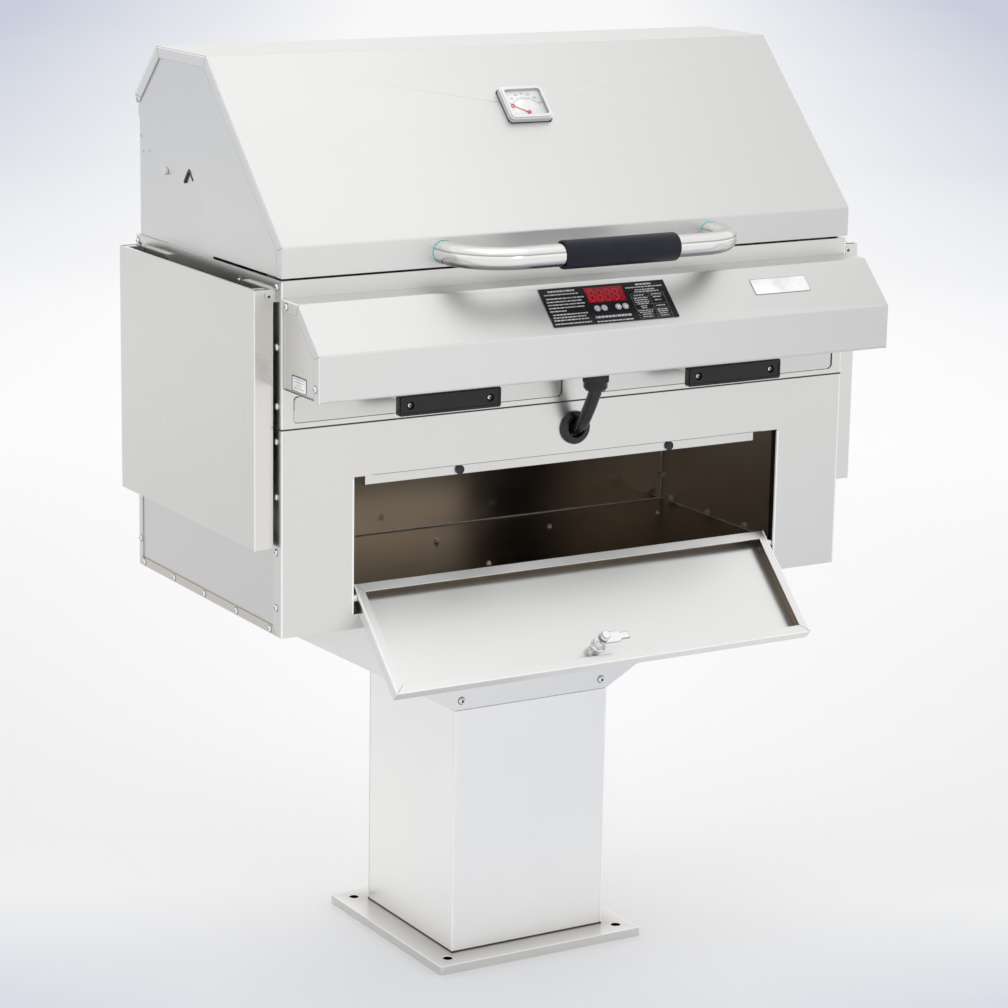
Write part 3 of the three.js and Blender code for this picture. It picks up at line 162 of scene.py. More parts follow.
# Satin stainless sheet: a hair-fine grain along one axis, soft clouds, faint smears and a few specks; some
# sheets also take a painted shade that darkens them towards +x, and painted shade and light inside the
# cupboard
def steel(name, grain="x", tone=(0.735, 0.73, 0.71), rough=0.3, wear=1.0, inside=None, grazing=None,
          paintedRightShade=None, metal=1.0):
    g = Graph(name)
    long, cross = 7.0, 1500.0
    fine = dict(x=(long, cross, cross), y=(cross, long, cross), z=(cross, cross, long))[grain]
    lines = g.noise(g.stretched(*fine), 1.0, 2.0)
    streaks = g.noise(g.stretched(*(s * 0.12 for s in fine)), 1.0, 2.0)
    cloud = g.noise(g.place(), 3.2, 3.0, 0.55)
    smear = g.noise(g.stretched(2.0, 2.0, 5.0), 2.0, 4.0, 0.6)
    specks = g.span(g.noise(g.place(), 130.0, 1.0), 0.76, 0.82)
    grainMix = lines * 0.7 + streaks * 0.3
    colour = g.mix(g.span(grainMix, 0.3, 0.7), scaled(tone, 0.995), scaled(tone, 1.003))
    colour = g.mix(g.span(cloud, 0.35, 0.75) * (0.07 * wear), colour, (0.56, 0.545, 0.52))
    colour = g.mix(specks * (0.12 * wear), colour, (0.40, 0.37, 0.34))
    # painted shade: the colour darkens towards +x, standing in for the room's reflection falling off across
    # the sheet
    if paintedRightShade:
        colour = g.mix(g.span(g.parts(g.place())[0], -0.2, 0.42), colour, scaled(tone, paintedRightShade))
    shine = g.span(grainMix, 0.25, 0.75, rough, rough + 0.003)
    shine = shine + g.span(smear, 0.45, 0.75, 0.0, 0.04 * wear)
    # painted shade and light: tones that the sheet shows only inside the cupboard
    if inside:
        shade = within(g, g.parts(g.place()), *inside["box"], soft=0.0003)
        tint = g.mix(g.span(g.noise(g.place(), 2.2, 3.0), 0.35, 0.7), inside["tone"], inside["tone2"])
        colour = g.mix(shade, colour, tint)
        shine = shine + shade * 0.04
    if grazing:
        g.shader.inputs["Specular Tint"].default_value = (*grazing, 1)
    return g.done(Base_Color=colour, Metallic=metal, Roughness=shine, Normal=g.bump(lines, 0.01, 0.00001))


def polished(name, tone=(0.78, 0.78, 0.77), rough=0.12):
    g = Graph(name)
    fine = g.noise(g.place(), 380.0, 2.0)
    cloud = g.noise(g.place(), 25.0, 3.0)
    colour = g.mix(g.span(cloud, 0.3, 0.7), scaled(tone, 0.94), tone)
    shine = g.span(fine + cloud, 0.7, 1.3, rough, rough + 0.09)
    return g.done(Base_Color=colour, Metallic=1.0, Roughness=shine, Normal=g.bump(fine, 0.05, 0.00005))


def plastic(name, tone, rough=0.42, grit=900.0, depth=0.00004, coat=0.0, sheen=0.5, vary=0.2):
    g = Graph(name)
    grain = g.noise(g.place(), grit, 2.0)
    cloud = g.noise(g.place(), 30.0, 3.0)
    colour = g.mix(g.span(cloud, 0.3, 0.7), scaled(tone, 1 - vary), scaled(tone, 1 + vary))
    g.shader.inputs["Specular IOR Level"].default_value = sheen
    shine = g.span(grain, 0.3, 0.7, rough - 0.06, rough + 0.08)
    return g.done(Base_Color=colour, Roughness=shine, Normal=g.bump(grain, 0.35, depth), Coat_Weight=coat)


# Polished steel whose shade follows how far its face leans from an axis, as if it mirrored a room
def mirrored(name, axis, stops, tone=(0.97, 0.96, 0.94), rough=0.14):
    g = Graph(name)
    lean = sum(part * share for part, share in zip(g.parts(g.make("TexCoord", out="Normal")), axis) if share)
    uneven = (g.noise(g.stretched(3.0, 40.0, 40.0), 1.0, 2.0) - 0.5) * 0.03
    tones = [((place + 1) / 2, scaled(tone, grey)) for place, grey in stops]
    colour = g.make("ValToRGB", stops=tones, _0=lean * 0.5 + 0.5 + uneven)
    fine = g.noise(g.place(), 420.0, 2.0)
    shine = g.span(fine, 0.3, 0.7, rough, rough + 0.06)
    return g.done(Base_Color=colour, Metallic=1.0, Roughness=shine, Normal=g.bump(fine, 0.04, 0.00004))


slopeTurn = math.atan2(hood["top"] - hood["fold"], hood["slopeRun"])
slopeLean = (math.sin(slopeTurn), math.cos(slopeTurn))
cupboardBox = ((-0.4035, -0.2016, 0.4963), (0.4035, 0.2018, 0.7475))
barStops = [(-1, 0.20), (-0.75, 0.22), (-0.58, 0.36), (-0.42, 0.80), (0.12, 0.86), (0.26, 0.94), (0.33, 0.40),
            (0.39, 0.46), (0.47, 0.80), (0.80, 0.84), (1, 0.68)]
bezelStops = [(-1, 0.25), (-0.1, 0.55), (0.1, 0.60), (0.45, 0.88), (0.75, 0.97), (0.9, 0.84), (1, 0.84)]


# Painted shade and painted light that a sheet shows only inside the cupboard
def paintedStoreShading(tone, tone2):
    return dict(box=cupboardBox, tone=tone, tone2=tone2)


looks = dict(
    across=steel("satin_across", "x"),
    along=steel("satin_along", "y", tone=(0.745, 0.74, 0.715)),
    wide=steel("satin_wide", "x", tone=(0.75, 0.748, 0.74), rough=0.4, paintedRightShade=0.88),
    upright=steel("satin_upright", "z", tone=(0.95, 0.945, 0.93), metal=0.6),
    cradle=steel("satin_cradle", "x", tone=(0.84, 0.835, 0.82), metal=0.85),
    shelf=steel("satin_shelf", "z", tone=(0.75, 0.74, 0.715), rough=0.27),
    # Inside the cupboard the front's returns take black painted shade, the floor and sides brown painted
    # shade, and the back a lighter painted reflection of the bright room
    store=steel("satin_store", "x", inside=paintedStoreShading((0.05, 0.035, 0.035), (0.08, 0.06, 0.055))),
    # The trays: a darker copy of the satin steel, painted shade of the console above them
    tray=steel("satin_tray_shaded", "x", tone=(0.68, 0.675, 0.66)),
    storeBack=steel("satin_store_back", "x", rough=0.11, wear=2.0,
                    inside=paintedStoreShading((0.78, 0.76, 0.73), (0.90, 0.885, 0.86))),
    storeFloor=steel("satin_store_floor", "x", rough=0.24, grazing=(0.72, 0.62, 0.52),
                     inside=paintedStoreShading((0.11, 0.08, 0.057), (0.14, 0.105, 0.077))),
    storeSide=steel("satin_store_side", "y", tone=(0.69, 0.69, 0.675),
                    inside=paintedStoreShading((0.36, 0.32, 0.27), (0.45, 0.41, 0.36))),
    hidden=steel("heat_dulled", "y", tone=(0.36, 0.34, 0.31), rough=0.42, wear=2.0),
    bright=polished("polished_steel"),
    zinc=polished("zinc_plated", (0.86, 0.87, 0.87), 0.22),
    bar=mirrored("bar_steel", (0, 0, 1), barStops),
    bezel=mirrored("bezel_chrome", (0, -slopeLean[0], slopeLean[1]), bezelStops, (0.95, 0.95, 0.96), 0.16),
    latch=polished("latch_zinc", (0.94, 0.945, 0.95), 0.3),
    stud=plastic("bright_stud", (0.80, 0.77, 0.72), 0.25, coat=0.5),
    edge=plastic("bend_highlight", (0.99, 0.99, 0.985), 0.25, vary=0.02),
    black=plastic("black_moulding", (0.007, 0.006, 0.007), 0.2, sheen=0.4),
    rubber=plastic("black_rubber", (0.008, 0.008, 0.010), 0.26, sheen=0.5),
    foam=plastic("grip_foam", (0.008, 0.009, 0.018), 0.42, 1500.0, 0.0001, sheen=0.24),
    dial=plastic("white_dial", (0.84, 0.84, 0.84), 0.3, coat=0.6),
    ink=plastic("grey_ink", (0.26, 0.27, 0.29), 0.5),
    red=plastic("red_paint", (0.60, 0.14, 0.18), 0.4),
    panel=plastic("panel_film", (0.009, 0.008, 0.010), 0.3, 700.0, 0.00002, sheen=0.2),
    print=plastic("pale_print", (0.50, 0.50, 0.52), 0.5),
    window=plastic("display_window", (0.30, 0.006, 0.016), 0.25, 300.0, 0.00001, sheen=0.3),
    digits=plastic("display_digits", (0.52, 0.040, 0.055), 0.3, sheen=0.3),
    button=plastic("button_cap", (0.46, 0.46, 0.48), 0.35, coat=0.3),
    ruling=plastic("thin_ruling", (0.22, 0.22, 0.23), 0.5),
    badge=plastic("badge_plate", (0.86, 0.86, 0.87), 0.3),
    label=plastic("label_plate", (0.84, 0.84, 0.84), 0.35),
    ring=plastic("ring_film", (0.40, 0.80, 0.86), 0.3),
    # Painted shadow along the inner edges of the hood's and console's laps
    lap=plastic("lap_edge_shadow", (0.42, 0.415, 0.405), 0.5),
    seam=plastic("seam_shadow", (0.16, 0.155, 0.15), 0.6),
    labelInk=plastic("label_ink", (0.45, 0.45, 0.46), 0.5),
    border=plastic("print_border", (0.10, 0.10, 0.11), 0.5),
    spot=steel("weld_spot", "x", tone=(0.52, 0.51, 0.49), rough=0.4),
    joint=plastic("joint_shadow", (0.045, 0.036, 0.028), 0.6),
)
print("materials made")


def own(obj, look, ridesOn):
    obj.data.materials.clear()
    obj.data.materials.append(looks[look])
    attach(obj, ridesOn)
    return obj


def meshObject(name, build, smooth):
    mesh = bpy.data.meshes.new(name)
    bm = bmesh.new()
    build(bm)
    bmesh.ops.recalc_face_normals(bm, faces=bm.faces)
    bm.to_mesh(mesh)
    bm.free()
    if smooth:
        mesh.polygons.foreach_set("use_smooth", [True] * len(mesh.polygons))
        mesh.set_sharp_from_angle(angle=math.radians(smooth))
    obj = bpy.data.objects.new(name, mesh)
    bpy.context.scene.collection.objects.link(obj)
    return obj


def add(name, build, look, ridesOn, smooth=0):
    return own(meshObject(name, build, smooth), look, ridesOn)


def frameAt(place, normal, spin=0.0):
    z = Vector(normal).normalized()
    side = Vector((1, 0, 0)) if abs(z.x) < 0.9 else Vector((0, 1, 0))
    x = (side - z * side.dot(z)).normalized()
    turn = Matrix((x, z.cross(x), z)).transposed().to_4x4()
    return Matrix.Translation(Vector(place) * mm) @ turn @ Matrix.Rotation(spin, 4, "Z") @ Matrix.Scale(mm, 4)


def lathe(bm, matrix, profile, steps=24):
    angles = [2 * math.pi * i / steps for i in range(steps)]
    rings = []
    for r, z in profile:
        places = [(r * math.cos(a), r * math.sin(a), z) for a in angles] if r else [(0, 0, z)]
        rings.append([bm.verts.new(matrix @ Vector(place)) for place in places])
    for a, b in zip(rings, rings[1:]):
        for i in range(steps):
            j = (i + 1) % steps
            corners = [a[i % len(a)], a[j % len(a)], b[j % len(b)], b[i % len(b)]]
            unique = list(dict.fromkeys(corners))
            if len(unique) > 2:
                bm.faces.new(unique)


def slab(bm, matrix, x0, x1, y0, y1, z0, z1):
    made = bmesh.ops.create_cube(bm, size=1.0)["verts"]
    size = Matrix.Diagonal((x1 - x0, y1 - y0, z1 - z0, 1))
    middle = Matrix.Translation(((x0 + x1) / 2, (y0 + y1) / 2, (z0 + z1) / 2))
    bmesh.ops.transform(bm, matrix=matrix @ middle @ size, verts=made)


# A plate with the outline of the corners
def prism(bm, matrix, corners, low, high):
    below, above = ([bm.verts.new(matrix @ Vector((*p, z))) for p in corners] for z in (low, high))
    bm.faces.new(above)
    bm.faces.new(below[::-1])
    for i in range(len(corners)):
        bm.faces.new((below[i - 1], below[i], above[i], above[i - 1]))


# A domed screw head, with a round hollow where a six-sided socket goes in
def screwHead(bm, place, normal, radius, height, recess):
    at = frameAt(place, normal, random.uniform(0, math.pi))
    dome = [(1, 0), (1, 0.22), (0.93, 0.52), (0.74, 0.82), (0.5, 0.96)]
    middle = [(0.42, 1), (0.36, 0.35), (0, 0.3)] if recess == "hex" else [(0, 1)]
    lathe(bm, at, [(radius * r, height * z) for r, z in dome + middle], 18)


def screwSlots(bm, place, normal, radius, height, spin):
    at = frameAt(place, normal, spin)
    reach, half = radius * 0.52, radius * 0.085
    slab(bm, at, -reach, reach, -half, half, height * 0.9, height * 1.015)
    slab(bm, at, -half, half, -reach, reach, height * 0.9, height * 1.015)


# A row of screws, each with a thin dark rim, a painted contact shadow round the head, and a dark cross or
# socket, painted shade in its recess
def screws(name, places, ridesOn, radius, height, recess="cross", rim=0.9):
    # Painted shadow: a thin dark disc round each head
    def rims(bm):
        for place, normal in places:
            lathe(bm, frameAt(place, normal), [(radius + rim, 0), (radius + rim - 0.05, 0.12), (0, 0.12)], 24)
    add(name + "_rims", rims, "seam", ridesOn, smooth=35)

    def heads(bm):
        for place, normal in places:
            screwHead(bm, place, normal, radius, height, recess)
    add(name, heads, "zinc", ridesOn, smooth=35)

    # Painted shade: a dark cross on each head, where its recess would be
    def slots(bm):
        for i, (place, normal) in enumerate(places):
            screwSlots(bm, place, normal, radius, height, 0.35 + 0.9 * i)

    # Painted shade: a dark plug in each socket's recess
    def sockets(bm):
        inner, low, high = radius * 0.44, height * 0.5, height + 0.04
        for place, normal in places:
            lathe(bm, frameAt(place, normal), [(inner, low), (inner, high), (0, high)], 6)
    if recess == "cross":
        add(name + "_slots", slots, "seam", ridesOn)
    else:
        add(name + "_sockets", sockets, "joint", ridesOn)


# A plain pale floor with painted light falloff: white round the object, duller beside it, cooler far away and
# in the near corners
def makeStage():
    room = dict(radius=60, white=(0.94, 0.94, 0.94), pale=(0.91, 0.91, 0.91), cool=(0.56, 0.60, 0.71),
                dull=(0.73, 0.735, 0.745), turn=math.radians(30.9), foot=(0.1, -0.5), before=(-0.45, -0.8),
                side=(0.8, 2.8), behind=(2.5, 8), beside=(0.2, 1.6), near=(3.0, 0.6), level=(-0.5, 0.3),
                corner=(0.35, 0.85), low=(0.1, -0.45), uneven=0.15, footShare=0.5, cornerShare=0.7)
    g = Graph("pale_floor")
    x, y = g.parts(g.place())[:2]
    uneven = (g.noise(g.place(), 0.9, 2.0) - 0.5) * room["uneven"]
    along = x * math.sin(room["turn"]) + y * math.cos(room["turn"]) + uneven
    across = x * math.cos(room["turn"]) - y * math.sin(room["turn"]) + uneven
    outward = g.math("ABSOLUTE", across)
    corners = g.span(outward, *room["corner"]) * g.span(along, *room["low"]) * room["cornerShare"]
    far = g.span(outward, *room["side"]) * g.span(along, *room["behind"])
    share = g.span(along, *room["foot"]) * room["footShare"] + corners + far
    beside = g.span(outward, *room["beside"]) * g.span(along, *room["near"]) * g.span(along, *room["level"])
    colour = g.mix(beside, room["white"], room["dull"])
    colour = g.mix(share, colour, room["cool"])
    colour = g.mix(g.span(along, *room["before"]), colour, room["pale"])
    g.done(Base_Color=colour, Roughness=0.8)
    g.shader.inputs["Specular IOR Level"].default_value = 0.1

    def disc(bm):
        bmesh.ops.create_circle(bm, cap_ends=True, radius=room["radius"], segments=96)
    floor = meshObject("floor", disc, 0)
    floor.data.materials.append(g.material)


def areaLight(name, place, target, size, radiance):
    data = bpy.data.lights.new(name, "AREA")
    data.shape = "RECTANGLE"
    data.size, data.size_y = size
    data.energy = radiance * math.pi * size[0] * size[1]
    light = bpy.data.objects.new(name, data)
    light.location = place
    light.rotation_euler = (Vector(target) - Vector(place)).to_track_quat("-Z", "Y").to_euler()
    bpy.context.scene.collection.objects.link(light)


# An even white room with three large dim soft boxes; radiance is what each adds to the room's own
def makeLights():
    world = bpy.data.worlds.new("studio")
    world.use_nodes = True
    bpy.context.scene.world = world
    sky = world.node_tree.nodes["Background"]
    sky.inputs[0].default_value = (1.0, 1.0, 1.0, 1)
    sky.inputs[1].default_value = 1.0
    softBoxes = dict(
        overhead=dict(place=(-0.2, -0.5, 4.2), target=(-0.2, -0.4, 0.9), size=(4.0, 3.6), radiance=0.27),
        back=dict(place=(2.6, 4.4, 1.9), target=(0, 0, 1.1), size=(3.4, 2.6), radiance=0.13),
        front=dict(place=(0.6, -4.2, 2.2), target=(0, 0, 0.6), size=(1.1, 1.1), radiance=1.3),
    )
    for name, box in softBoxes.items():
        areaLight(name, **box)


def makeCamera():
    view = dict(place=(-2.07454, -3.50358, 1.54232), turn=-30.890, tilt=13.376, roll=0.970, lens=114.66,
                sensor=36, clip=200)
    data = bpy.data.cameras.new("camera")
    data.lens = view["lens"]
    data.sensor_width = view["sensor"]
    data.clip_end = view["clip"]
    camera = bpy.data.objects.new("camera", data)
    turn, tilt, roll = (math.radians(view[angle]) for angle in ("turn", "tilt", "roll"))
    backward = Vector((math.sin(turn) * math.cos(tilt), -math.cos(turn) * math.cos(tilt), math.sin(tilt)))
    right = Vector((math.cos(turn), math.sin(turn), 0))
    up = backward.cross(right)
    right, up = right * math.cos(roll) + up * math.sin(roll), up * math.cos(roll) - right * math.sin(roll)
    turned = Matrix((right, up, backward)).transposed().to_4x4()
    camera.matrix_world = Matrix.Translation(view["place"]) @ turned
    bpy.context.scene.collection.objects.link(camera)
    bpy.context.scene.camera = camera


makeStage()
makeLights()
makeCamera()
bpy.context.scene.view_settings.view_transform = "Standard"
print("stage made")


def pairs(*names):
    return [side + name for name in names for side in ("right_", "left_")]


# Which look each solid has
nodeLooks = dict(
    wide=["console_cover", "hood_wrap"],
    across=["firebox_front", "firebox_back", "hood_housing", "door_stop_rail"],
    cradle=["cradle_front_plate", "cradle_rear_plate"],
    tray=pairs("tray_pan"),
    along=pairs("firebox_side", "hood_end", "cradle_panel") + ["console_pan"],
    upright=["pedestal_column"],
    plate=["base_plate"],
    shelf=pairs("shelf"),
    store=["cabinet_front", "heat_shield"],
    storeBack=["cabinet_back"],
    storeFloor=["cabinet_floor"],
    storeSide=pairs("cabinet_side"),
    door=["door_pan"],
    hidden=pairs("element", "grate") + ["tray_centre_rail", "firebox_liner"],
    bright=pairs("hinge_bolt", "door_pivot"),
    latch=["latch_stud", "latch_lever"],
    bezel=["gauge_bezel"],
    black=pairs("tray_pull") + ["cable_gland"],
    rubber=pairs("door_bumper", "hood_pad") + ["cable_grommet"],
    dial=["gauge_dial"],
    red=["gauge_needle"],
    panel=["control_overlay"],
    window=["display_board"],
    button=["button_1", "button_2", "button_3", "button_4"],
)


# The base plate: painted shade on its holes' walls, so they look black from above, and painted shade round
# the column's foot, brighter towards its rim
def basePlate(name):
    base = dict(reach=128.4, hole=6.5, top=12.7, foot=(0.114, 0.150), inner=(0.42, 0.405, 0.39),
                outer=(0.70, 0.69, 0.67), cloudTone=(0.80, 0.79, 0.78), holeShadeTone=(0.02, 0.02, 0.018))
    g = Graph(name)
    x, y, z = g.parts(g.place())
    reach = base["reach"] * mm
    away = ((g.math("ABSOLUTE", x) - reach) ** 2.0 + (g.math("ABSOLUTE", y) - reach) ** 2.0) ** 0.5
    # painted shade on the holes' walls
    wall = g.span(away, (base["hole"] + 0.1) * mm, (base["hole"] + 0.25) * mm, 1.0, 0.0)
    wall = wall * g.span(z, base["top"] * mm, (base["top"] - 0.4) * mm)
    lines = g.noise(g.stretched(7.0, 1500.0, 1500.0), 1.0, 2.0)
    cloud = g.noise(g.place(), 9.0, 3.0, 0.6)
    outward = g.math("MAXIMUM", g.math("ABSOLUTE", x), g.math("ABSOLUTE", y))
    # painted shade: darker round the column's foot
    colour = g.mix(g.span(outward, *base["foot"]), base["inner"], base["outer"])
    colour = g.mix(g.span(cloud, 0.35, 0.7) * 0.25, colour, base["cloudTone"])
    colour = g.mix(wall, colour, base["holeShadeTone"])
    shine = g.span(lines, 0.25, 0.75, 0.3, 0.36)
    return g.done(Base_Color=colour, Metallic=1.0, Roughness=shine, Normal=g.bump(lines, 0.05, 0.00003))


# The solids' looks, their edges softened by a width in millimetres
def dressSolids():
    # The base plate's rounded edges take the pale bend look, a painted highlight, and the latch lever's take
    # the dark seam look, painted shade
    paintedEdgeLooks = dict(base_plate="edge", latch_lever="seam")
    soft = dict(right_tray_pull=1.2, left_tray_pull=1.2, gauge_bezel=1.2, cable_gland=0.8, cable_grommet=1.0,
                base_plate=1.6, button_1=0.5, button_2=0.5, button_3=0.5, button_4=0.5, latch_lever=0.5,
                hood_wrap=0.02, gauge_dial=0.1, gauge_needle=0.1, control_overlay=0.2, display_board=0.1)
    for look, names in nodeLooks.items():
        for name in names:
            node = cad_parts[name]
            node.data.materials.clear()
            node.data.materials.append(looks[look])
            weld = node.modifiers.new("weld", "WELD")
            weld.merge_threshold = 0.00002
            bevel = node.modifiers.new("edges", "BEVEL")
            bevel.width = soft.get(name, 0.45) * mm
            bevel.segments = 2
            bevel.limit_method = "ANGLE"
            bevel.angle_limit = math.radians(32)
            bevel.use_clamp_overlap = True
            bevel.harden_normals = name != "hood_wrap"
            if name in paintedEdgeLooks:
                node.data.materials.append(looks[paintedEdgeLooks[name]])
                bevel.material = 1


# The door's pan has a painted reflection of the dark store on its inner walls, and painted shade beside its
# hinge
def doorPan(name):
    pan = dict(edge=0.6 * mm, deep=(1.7 * mm, 13.0 * mm), middle=7.5 * mm, band=(0.8 * mm, 2.6 * mm),
               hinge=(2.0 * mm, 20 * mm), skin=(1.3 * mm, 1.6 * mm), bright=(0.82, 0.82, 0.805),
               dull=(0.52, 0.49, 0.45), cloud=(0.62, 0.61, 0.60),
               wall=((0.60, 0.50, 0.40), (0.20, 0.15, 0.11)))
    g = Graph(name)
    x, y, z = g.parts(g.place())
    angle = door["angle"]
    y0, z0 = (door["face"] + door["thickness"] / 2) * mm, (door["bottom"] + door["rise"]) * mm
    along = (z - z0) * math.cos(angle) - (y - y0) * math.sin(angle) + door["rise"] * mm
    deep = (z - z0) * math.sin(angle) + (y - y0) * math.cos(angle) + door["thickness"] / 2 * mm
    edge, half, length = pan["edge"], door["half"] * mm, door["length"] * mm
    box = ((edge - half, edge, pan["deep"][0]), (half - edge, length - edge, pan["deep"][1]))
    wall = within(g, (x, along, deep), *box, soft=0.0002)
    streak = g.noise(g.stretched(40.0, 300.0, 300.0), 1.0, 2.0)
    away = g.math("ABSOLUTE", deep - pan["middle"]) + (streak - 0.5) * 0.004
    # painted reflection of the dark store, in brown bands on the pan's inner walls
    paintedWallReflection = g.mix(g.span(away, *pan["band"]), *pan["wall"])
    lines = g.noise(g.stretched(7.0, 1500.0, 1500.0), 1.0, 2.0)
    cloud = g.noise(g.place(), 4.0, 3.0, 0.55)
    # painted shade: duller beside the hinge
    tone = g.mix(g.span(along, *pan["hinge"]), pan["dull"], pan["bright"])
    tone = g.mix(g.span(deep, *pan["skin"]), tone, pan["bright"])
    tone = g.mix(g.span(cloud, 0.35, 0.75) * 0.12, tone, pan["cloud"])
    colour = g.mix(wall, tone, paintedWallReflection)
    shine = g.span(lines, 0.25, 0.75, 0.275, 0.285)
    return g.done(Base_Color=colour, Metallic=1.0, Roughness=shine, Normal=g.bump(lines, 0.01, 0.00001))


looks["door"] = doorPan("satin_door")
looks["plate"] = basePlate("satin_plate")
dressSolids()
print("solids dressed")


# Smooth tubes in place of the faceted ones
def tube(name, points, radius, look, ridesOn, replaced):
    curve = bpy.data.curves.new(name, "CURVE")
    curve.dimensions = "3D"
    curve.bevel_depth = radius * mm
    curve.bevel_resolution = 8
    curve.use_fill_caps = True
    line = curve.splines.new("POLY")
    line.points.add(len(points) - 1)
    for point, place in zip(line.points, points):
        point.co = (*(Vector(place) * mm), 1)
    line.use_smooth = True
    obj = bpy.data.objects.new(name, curve)
    bpy.context.scene.collection.objects.link(obj)
    own(obj, look, ridesOn)
    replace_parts(obj, replaced)


def arc(x, y, z, radius, start, end, steps=24):
    turns = [start + (end - start) * i / steps for i in range(steps + 1)]
    return [(x + radius * math.cos(a), y + radius * math.sin(a), z) for a in turns]


def makeHandle():
    bar = dict(half=192, radius=14, reach=80, bend=64, z=947.5, inset=0.3)
    ring = [(14.1, 0), (14.1, 0.9), (14.4, 1.1), (14.8, 0.8), (14.9, 0.2), (14.1, 0)]
    grip = [(14.7, -75), (16.4, -75), (17.3, -74), (17.6, -72.6), (17.6, 83.6), (17.3, 85), (16.4, 86),
            (14.7, 86), (14.7, -75)]
    half, bend, z, quarter = bar["half"], bar["bend"], bar["z"], math.pi / 2
    face = hood["face"]
    y, inner = face - bar["reach"], half - bend
    points = [(half, face - bar["inset"], z)] + arc(inner, y + bend, z, bend, 0, -quarter)
    points += arc(-inner, y + bend, z, bend, -quarter, -2 * quarter) + [(-half, face - bar["inset"], z)]
    tube("handle_bar", points, bar["radius"], "bar", "hood", "hood_handle")

    def rings(bm):
        for x in (-half, half):
            lathe(bm, frameAt((x, face - 0.1, z), (0, -1, 0)), ring, 48)
    add("handle_rings", rings, "ring", "hood", smooth=35)

    def sleeve(bm):
        lathe(bm, frameAt((0, y, z), (1, 0, 0)), grip, 40)
    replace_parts(add("grip_sleeve", sleeve, "foam", "hood", smooth=35), "handle_grip")


# The cable's curve runs through its measured points
def makeCable():
    run = dict(points=[(-249.2, 813.6), (-249.2, 791.9), (-249.2, 770.1), (-246.4, 763.5), (-236.3, 745.9),
                       (-223.4, 727.1), (-210.6, 716.7), (-203.2, 715), (-189.5, 715)], steps=8, radius=8)
    knots = [Vector((0, *p)) for p in run["points"]]
    fine = []
    for i in range(len(knots) - 1):
        a, b = knots[i], knots[i + 1]
        before, after = knots[max(i - 1, 0)], knots[min(i + 2, len(knots) - 1)]
        for k in range(run["steps"]):
            t = k / run["steps"]
            place = (2 * a) + (b - before) * t + (2 * before - 5 * a + 4 * b - after) * t * t
            fine.append(0.5 * (place + (3 * a - before - 3 * b + after) * t ** 3))
    fine.append(knots[-1])
    tube("cable_run", fine, run["radius"], "rubber", "frame", "power_cable")


makeHandle()
makeCable()
print("tubes made")


# Screws that hold the sheets
def makeScrews():
    side, front, back = body["side"], body["front"], body["back"]
    rows = dict(cupboard=(13.5, (733, 665.9, 598.3, 530)), firebox=(11.8, (918, 846.6, 775.9)), rear=4.6,
                floor=(30.6, 121.9, 212.9, 301.5, 391.9), floorHeight=500.2,
                brackets=((408.7, 171), (408.7, 109.5), (404.6, -88)), bracketHeight=910.6,
                console=((-11.4, 898.1), (-84.8, 813.4)), cradle=(105, 114.3, 351.7),
                pull=(205.5, 54.75, front - 45, 774.9))
    pans, small = [], []
    for hand in (-1, 1):
        out = (hand, 0, 0)
        for inset, heights in (rows["cupboard"], rows["firebox"]):
            for z in heights:
                for y in (front + inset, back - rows["rear"]):
                    pans.append(((hand * side, y, z), out))
        for y in rows["floor"]:
            pans.append(((hand * side, front + y, rows["floorHeight"]), out))
        for x, y in rows["brackets"]:
            small.append(((hand * x, y, rows["bracketHeight"]), out))
        for y, z in rows["console"]:
            pans.append(((hand * console["side"], front + y, z), out))
    screws("sheet_screws", pans, "frame", 3.9, 2.4)
    screws("bracket_screws", small, "frame", 2.9, 1.6, "hex")
    x, y, z = rows["cradle"]
    cradle = [((hand * x, end * y, z), (0, end, 0)) for hand in (-1, 1) for end in (-1, 1)]
    screws("cradle_screws", cradle, "frame", 4.5, 3.6, "hex")
    x, step, y, z = rows["pull"]
    for hand, name in ((1, "right_tray"), (-1, "left_tray")):
        pull = [((hand * x + end * step, y, z), (0, -1, 0)) for end in (-1, 1)]
        screws(name + "_screws", pull, name, 3.4, 2.6, "hex", rim=0.2)


